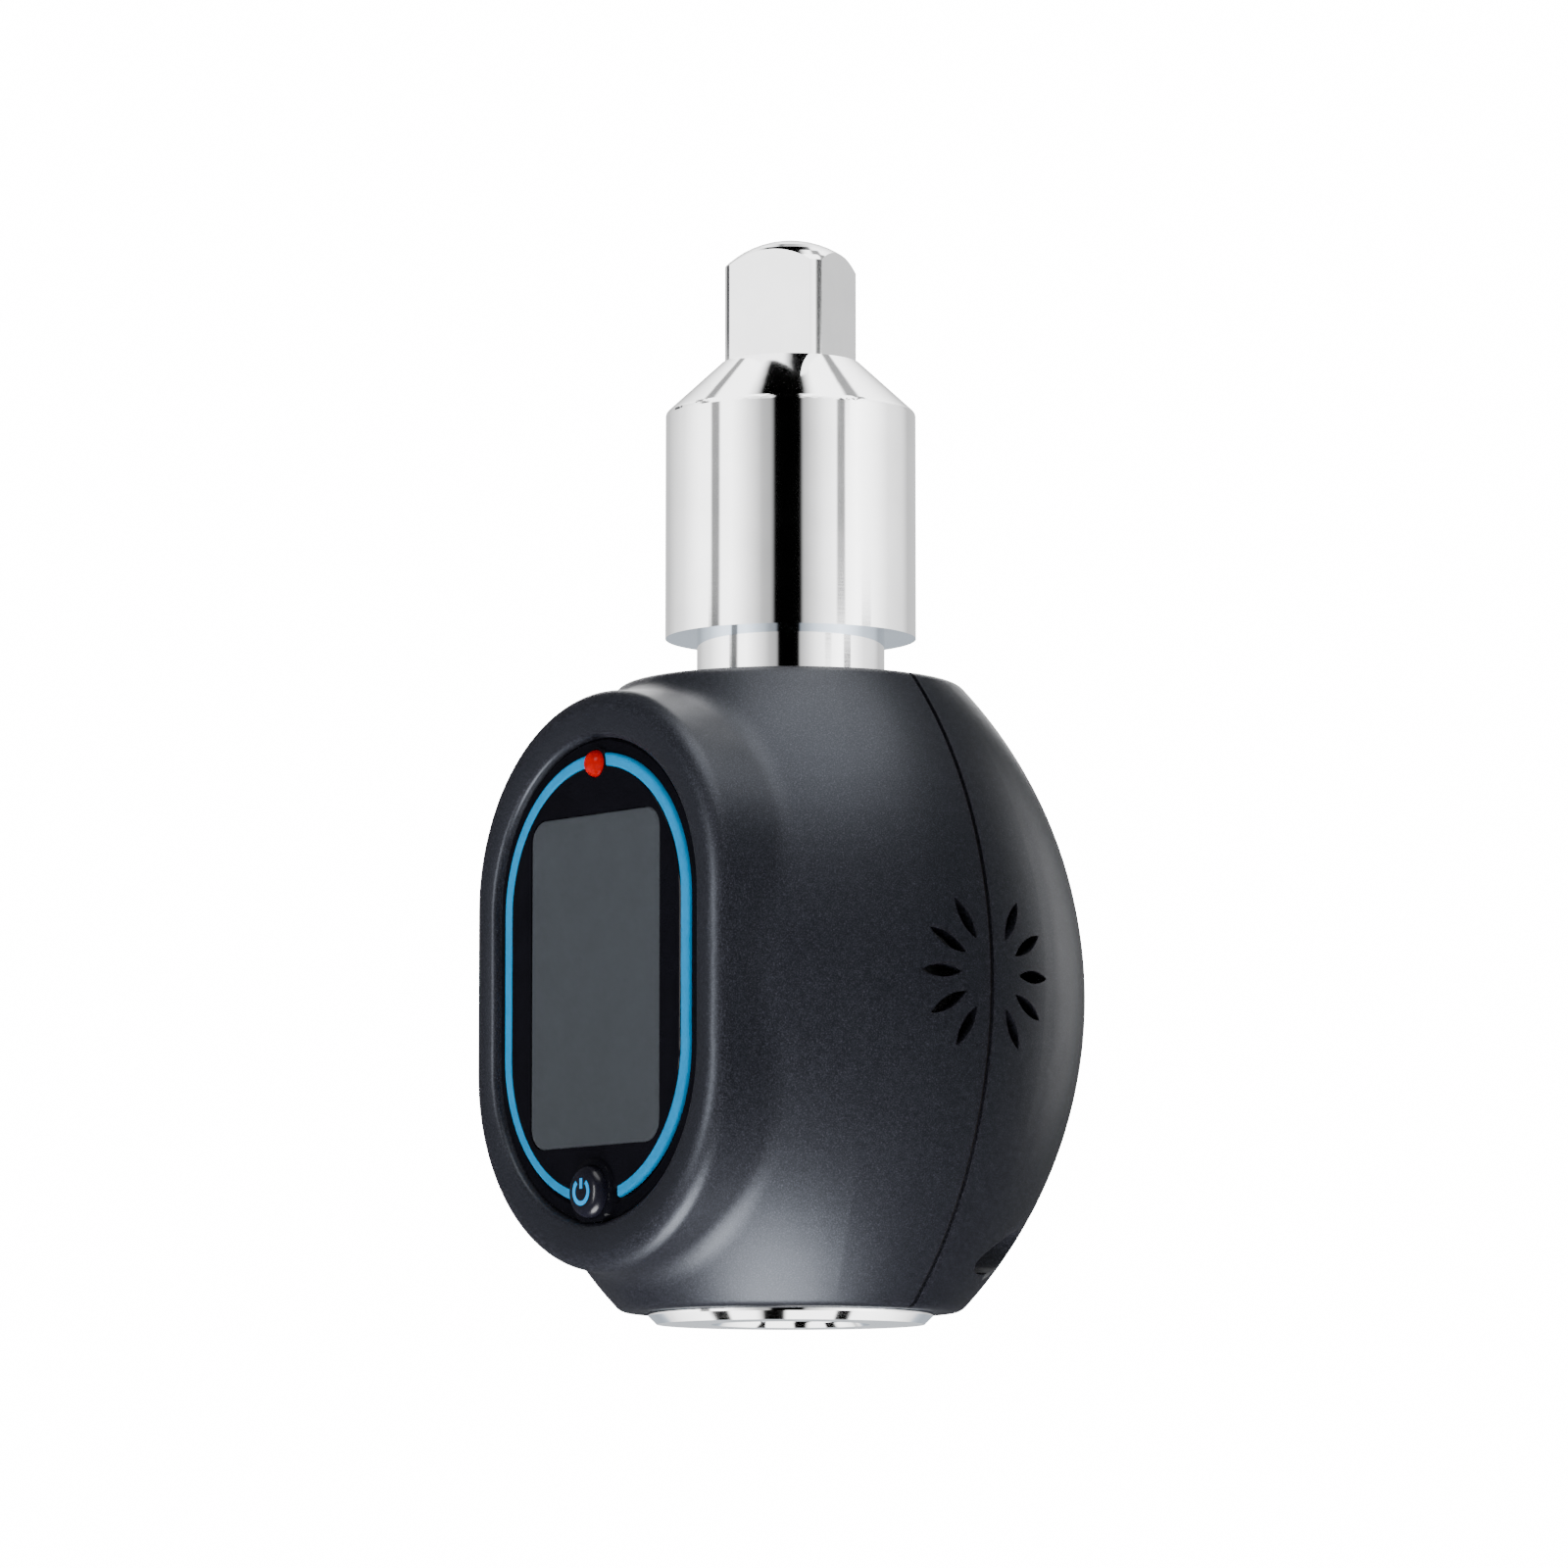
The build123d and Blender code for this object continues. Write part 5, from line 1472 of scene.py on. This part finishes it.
@dataclass
class Electronics:
    """The board, its chips and connectors, the gauges and the buzzer.

    A row of leads covers a share of its chip's length, and the pads cover shares of the
    board's width and height. The leads' bow and foot are shares of their reach.
    """

    chip: Moulding = Moulding("chip_epoxy", (0.015, 0.015, 0.016), 0.55)
    nylon: Moulding = Moulding("connector_nylon", (0.70, 0.69, 0.64), 0.5)
    screw: BrightMetal = BrightMetal("small_screw", (0.52, 0.52, 0.53), 0.3)
    black: Moulding = Moulding("black_moulding", (0.02, 0.02, 0.022), 0.5)
    board: CircuitBoard = CircuitBoard()
    gauge: Moulding = Moulding("gauge_film", (0.60, 0.36, 0.06), 0.3)
    ribbon: StripedFilm = StripedFilm(
        "ribbon_film", (0.55, 0.28, 0.04), (0.70, 0.42, 0.22), 1.1 * MM
    )
    tin: BrightMetal = BrightMetal("tinned_copper", (0.66, 0.66, 0.64), 0.28)
    foil: BrightMetal = BrightMetal("gauge_foil", (0.80, 0.47, 0.33), 0.3)
    lead_width: float = 0.30 * MM
    lead_thickness: float = 0.12 * MM
    lead_reach: float = 0.75 * MM
    lead_bow: float = 0.55
    lead_foot: float = 0.45
    lead_steps: int = 7
    row_share: float = 0.84
    pad_radius: float = 0.35 * MM
    pad_rise: float = 0.04 * MM
    pad_pitch: float = 2.0 * MM
    pad_area: Limits = (0.62, 0.72)
    pad_share: float = 0.35
    pad_seed: int = 7
    pad_sides: int = 12
    foil_line: float = 0.14 * MM
    foil_pitch: float = 0.36 * MM
    foil_margin: float = 0.7 * MM
    foil_lines: int = 10
    foil_rise: float = 0.02 * MM

    def build(self) -> list[Piece]:
        """Dresses what is inside the housing's front.

        Returns:
            The pieces.
        """
        tin = self.tin.build()
        made = [self.chip_leads(tin), self.board_pads(tin), self.gauge_foil()]
        for finish, nodes in (
            (self.board, ("main_board",)),
            (self.chip, ("board_chips",)),
            (self.nylon, ("ribbon_connector", "lead_connector")),
            (self.screw, ("board_screws",)),
            (self.gauge, ("strain_gauges",)),
            (self.ribbon, ("gauge_ribbon",)),
            (self.black, ("buzzer", "buzzer_holder")),
        ):
            material = finish.build()
            made += [finished(node, material) for node in nodes]
        return made

    def lead_rows(
        self, chip: tuple[Vector, Vector], turned: bool, count: int, tin: Material
    ) -> Mesh:
        """Bends two opposite rows of leads out of a chip and down to the board.

        Args:
            chip: the chip's low and high corner.
            turned: whether the rows lie at its ends and not at its sides.
            count: leads in each row.
            tin: their finish.

        Returns:
            The mesh.
        """
        low, high = chip
        size = high - low
        half, length = (size.z, size.x) if turned else (size.x, size.z)
        down = -size.y / 2 + self.lead_thickness
        quarter = Matrix.Rotation(radians(90 if turned else 0), 3, "Z")
        turn = Matrix.Rotation(radians(-90), 3, "X") @ quarter
        works = Works(
            "lead_rows",
            Count=count,
            First=(half / 2, -length * self.row_share / 2, size.y / 2),
            Step=(0.0, length * self.row_share / (count - 1), 0.0),
            Reach=(self.lead_reach, 0.0, down),
            Bow=(self.lead_reach * self.lead_bow, 0.0, 0.0),
            Foot=(self.lead_reach * self.lead_foot, 0.0, down),
            Width=self.lead_width,
            Thickness=self.lead_thickness,
            Place=Vector(((low.x + high.x) / 2, low.y, (low.z + high.z) / 2)),
            Turn=Vector(turn.to_euler()),
        )
        bend = works.add(
            "CurvePrimitiveBezierSegment",
            Resolution=self.lead_steps,
            Start=(0.0, 0.0, 0.0),
            End="Reach",
            Start_Handle="Bow",
            End_Handle="Foot",
        )
        lead = works.swept(bend, works.strip("Thickness", "Width"))
        side = works.row(lead, "Count", "First", "Step")
        other = works.moved(side, Rotation=(0.0, 0.0, pi))
        both = works.add("JoinGeometry", Geometry=[side, other])
        return works.run(works.moved(both, Rotation="Turn", Translation="Place"), tin)

    def chip_leads(self, tin: Material) -> Piece:
        """Puts leads on the two chips and on the connectors.

        Args:
            tin: their finish.

        Returns:
            The leads' piece.
        """
        controller, amplifier = solid_boxes("board_chips")[:2]
        rows = [
            self.lead_rows(controller, False, 16, tin),
            self.lead_rows(controller, True, 16, tin),
            self.lead_rows(amplifier, False, 8, tin),
            self.lead_rows(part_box("ribbon_connector"), True, 6, tin),
            self.lead_rows(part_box("lead_connector"), True, 2, tin),
        ]
        whole = bpy.data.meshes.new("chip_leads")
        with shaping(whole, *rows):
            whole.materials.append(tin)
        return settle(whole, "chip_leads")

    def board_pads(self, tin: Material) -> Piece:
        """Scatters round solder pads on the board's grid.

        Args:
            tin: their finish.

        Returns:
            The pads' piece.
        """
        low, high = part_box("main_board")
        width, height = (high.x - low.x) * self.pad_area[0], (high.z - low.z) * self.pad_area[1]
        works = Works(
            "board_pads",
            Width=width,
            Height=height,
            Columns=int(width / self.pad_pitch),
            Rows=int(height / self.pad_pitch),
            Pad_radius=self.pad_radius,
            Pad_rise=self.pad_rise,
            Share=self.pad_share,
            Seed=self.pad_seed,
            Place=Vector((0, high.y, (low.z + high.z) / 2)),
        )
        grid = works.add(
            "MeshGrid", Size_X="Width", Size_Y="Height", Vertices_X="Columns", Vertices_Y="Rows"
        )
        kind, chosen = "FunctionNodeRandomValue", {"data_type": "BOOLEAN"}
        picked = works.add(kind, out="Value", options=chosen, Probability="Share", Seed="Seed")
        pad = works.drum(self.pad_sides, "Pad radius", "Pad rise")
        pads = works.add("InstanceOnPoints", Points=grid, Instance=pad, Selection=picked)
        placed = works.moved(pads, Rotation=UPRIGHT, Translation="Place")
        return settle(works.run(placed, tin), "board_pads")

    def gauge_foil(self) -> Piece:
        """Lays the zigzag foil on each of the four gauges.

        Returns:
            The foil's piece.
        """
        low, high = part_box("strain_gauges")
        gauge = solid_boxes("strain_gauges")[0]
        works = Works(
            "gauge_foil",
            Points=2 * self.foil_lines,
            Pitch=self.foil_pitch,
            Length=gauge[1].z - gauge[0].z - 2 * self.foil_margin,
            Line=self.foil_line,
            Foil=self.foil_rise,
            Reach=(high.x - low.x) / 2,
            Height=(low.z + high.z) / 2,
        )
        # Of every four points, the middle two lie at the upper end, so the path goes to and fro.
        index = works.add("InputIndex")
        phase = works.maths("SUBTRACT", works.maths("MODULO", index, 4.0), 1.5)
        upper = works.maths("LESS_THAN", works.maths("ABSOLUTE", phase), 1.0)
        end = works.maths("SUBTRACT", upper, 0.5)
        column = works.maths("FLOOR", works.maths("DIVIDE", index, 2.0))
        middle = works.maths("SUBTRACT", works.maths("DIVIDE", "Points", 4.0), 0.5)
        across = works.maths("MULTIPLY", works.maths("SUBTRACT", column, middle), "Pitch")
        along = works.maths("MULTIPLY", end, "Length")
        corner = works.add("ShaderNodeCombineXYZ", "Reach", across, along)
        dots = works.add("MeshLine", options={"mode": "OFFSET"}, Count="Points")
        path = works.add("MeshToCurve", works.add("SetPosition", Geometry=dots, Position=corner))
        foil = works.swept(path, works.strip("Line", "Foil"))
        lifted = works.moved(foil, Translation=works.add("ShaderNodeCombineXYZ", Z="Height"))
        stack = works.add("MeshLine", options={"mode": "OFFSET"}, Count=4, Offset=(0.0, 0.0, 0.0))
        quarter = works.maths("MULTIPLY", works.add("InputIndex"), pi / 2)
        turn = works.add("ShaderNodeCombineXYZ", Z=quarter)
        four = works.add("InstanceOnPoints", Points=stack, Instance=lifted, Rotation=turn)
        return settle(works.run(four, self.foil.build()), "gauge_foil")


@dataclass
class PowerPack:
    """The two cells, their tray and contacts, and the leads to the board."""

    tray: Moulding = Moulding("tray_moulding", (0.025, 0.025, 0.027), 0.5)
    contact: BrightMetal = BrightMetal("contact_nickel", (0.60, 0.59, 0.56), 0.2)
    jacket: CellJacket = CellJacket()
    red: Moulding = Moulding("red_lead_cover", (0.42, 0.012, 0.010), 0.4)
    black: Moulding = Moulding("black_lead_cover", (0.012, 0.012, 0.012), 0.4)
    coil: Coil = Coil(2.6 * MM, 0.35 * MM, 2.0)
    lead_crease: float = 50.0

    def build(self) -> list[Piece]:
        """Dresses what is inside the rear cover.

        Returns:
            The pieces.
        """
        steel = self.contact.build()
        low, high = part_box("batteries")
        finishes = {
            "battery_tray": self.tray.build(),
            "batteries": self.jacket.build(low.z, high.z),
            "battery_plates": steel,
            "tray_screws": steel,
        }
        made = [self.contact_coils(steel), self.leads()]
        return made + [finished(node, material) for node, material in finishes.items()]

    def contact_coils(self, steel: Material) -> Piece:
        """Winds the contact springs at the cells' flat ends.

        Args:
            steel: the wire's finish.

        Returns:
            The springs' piece.
        """
        boxes = solid_boxes("battery_springs")
        length = boxes[0][1].z - boxes[0][0].z - 2 * self.coil.wire
        feet = []
        for low, high in boxes:
            middle = (low + high) / 2
            feet.append(Vector((middle.x, middle.y, low.z + self.coil.wire)))
        return self.coil.build("contact_coils", steel, feet, UP, length, "battery_springs")

    def leads(self) -> Piece:
        """Colours one lead red and its twin black.

        Returns:
            The leads' piece.
        """
        red, black = self.red.build(), self.black.build()
        piece = smooth_copy("battery_leads", "lead_pair", red, crease=self.lead_crease)
        piece.data.materials.append(black)
        with shaping(piece.data, piece.data) as shell:
            low = min(islands(shell), key=lambda island: sum(v.co.z for v in island) / len(island))
            for face in shell.faces:
                face.material_index = int(face.verts[0] in low)
        return piece


def main() -> None:
    """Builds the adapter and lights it."""
    logging.basicConfig(level=logging.INFO, format="%(name)s: %(message)s")
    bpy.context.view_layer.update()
    bright = Shaft().build() + Electronics().build() + PowerPack().build()
    housing, screws = Housing().build()
    window, display = Window().build()
    controls, marks = Controls().build()
    Studio().build(bright + screws, housing + window + controls, display + marks)


if __name__ == "__main__":
    main()
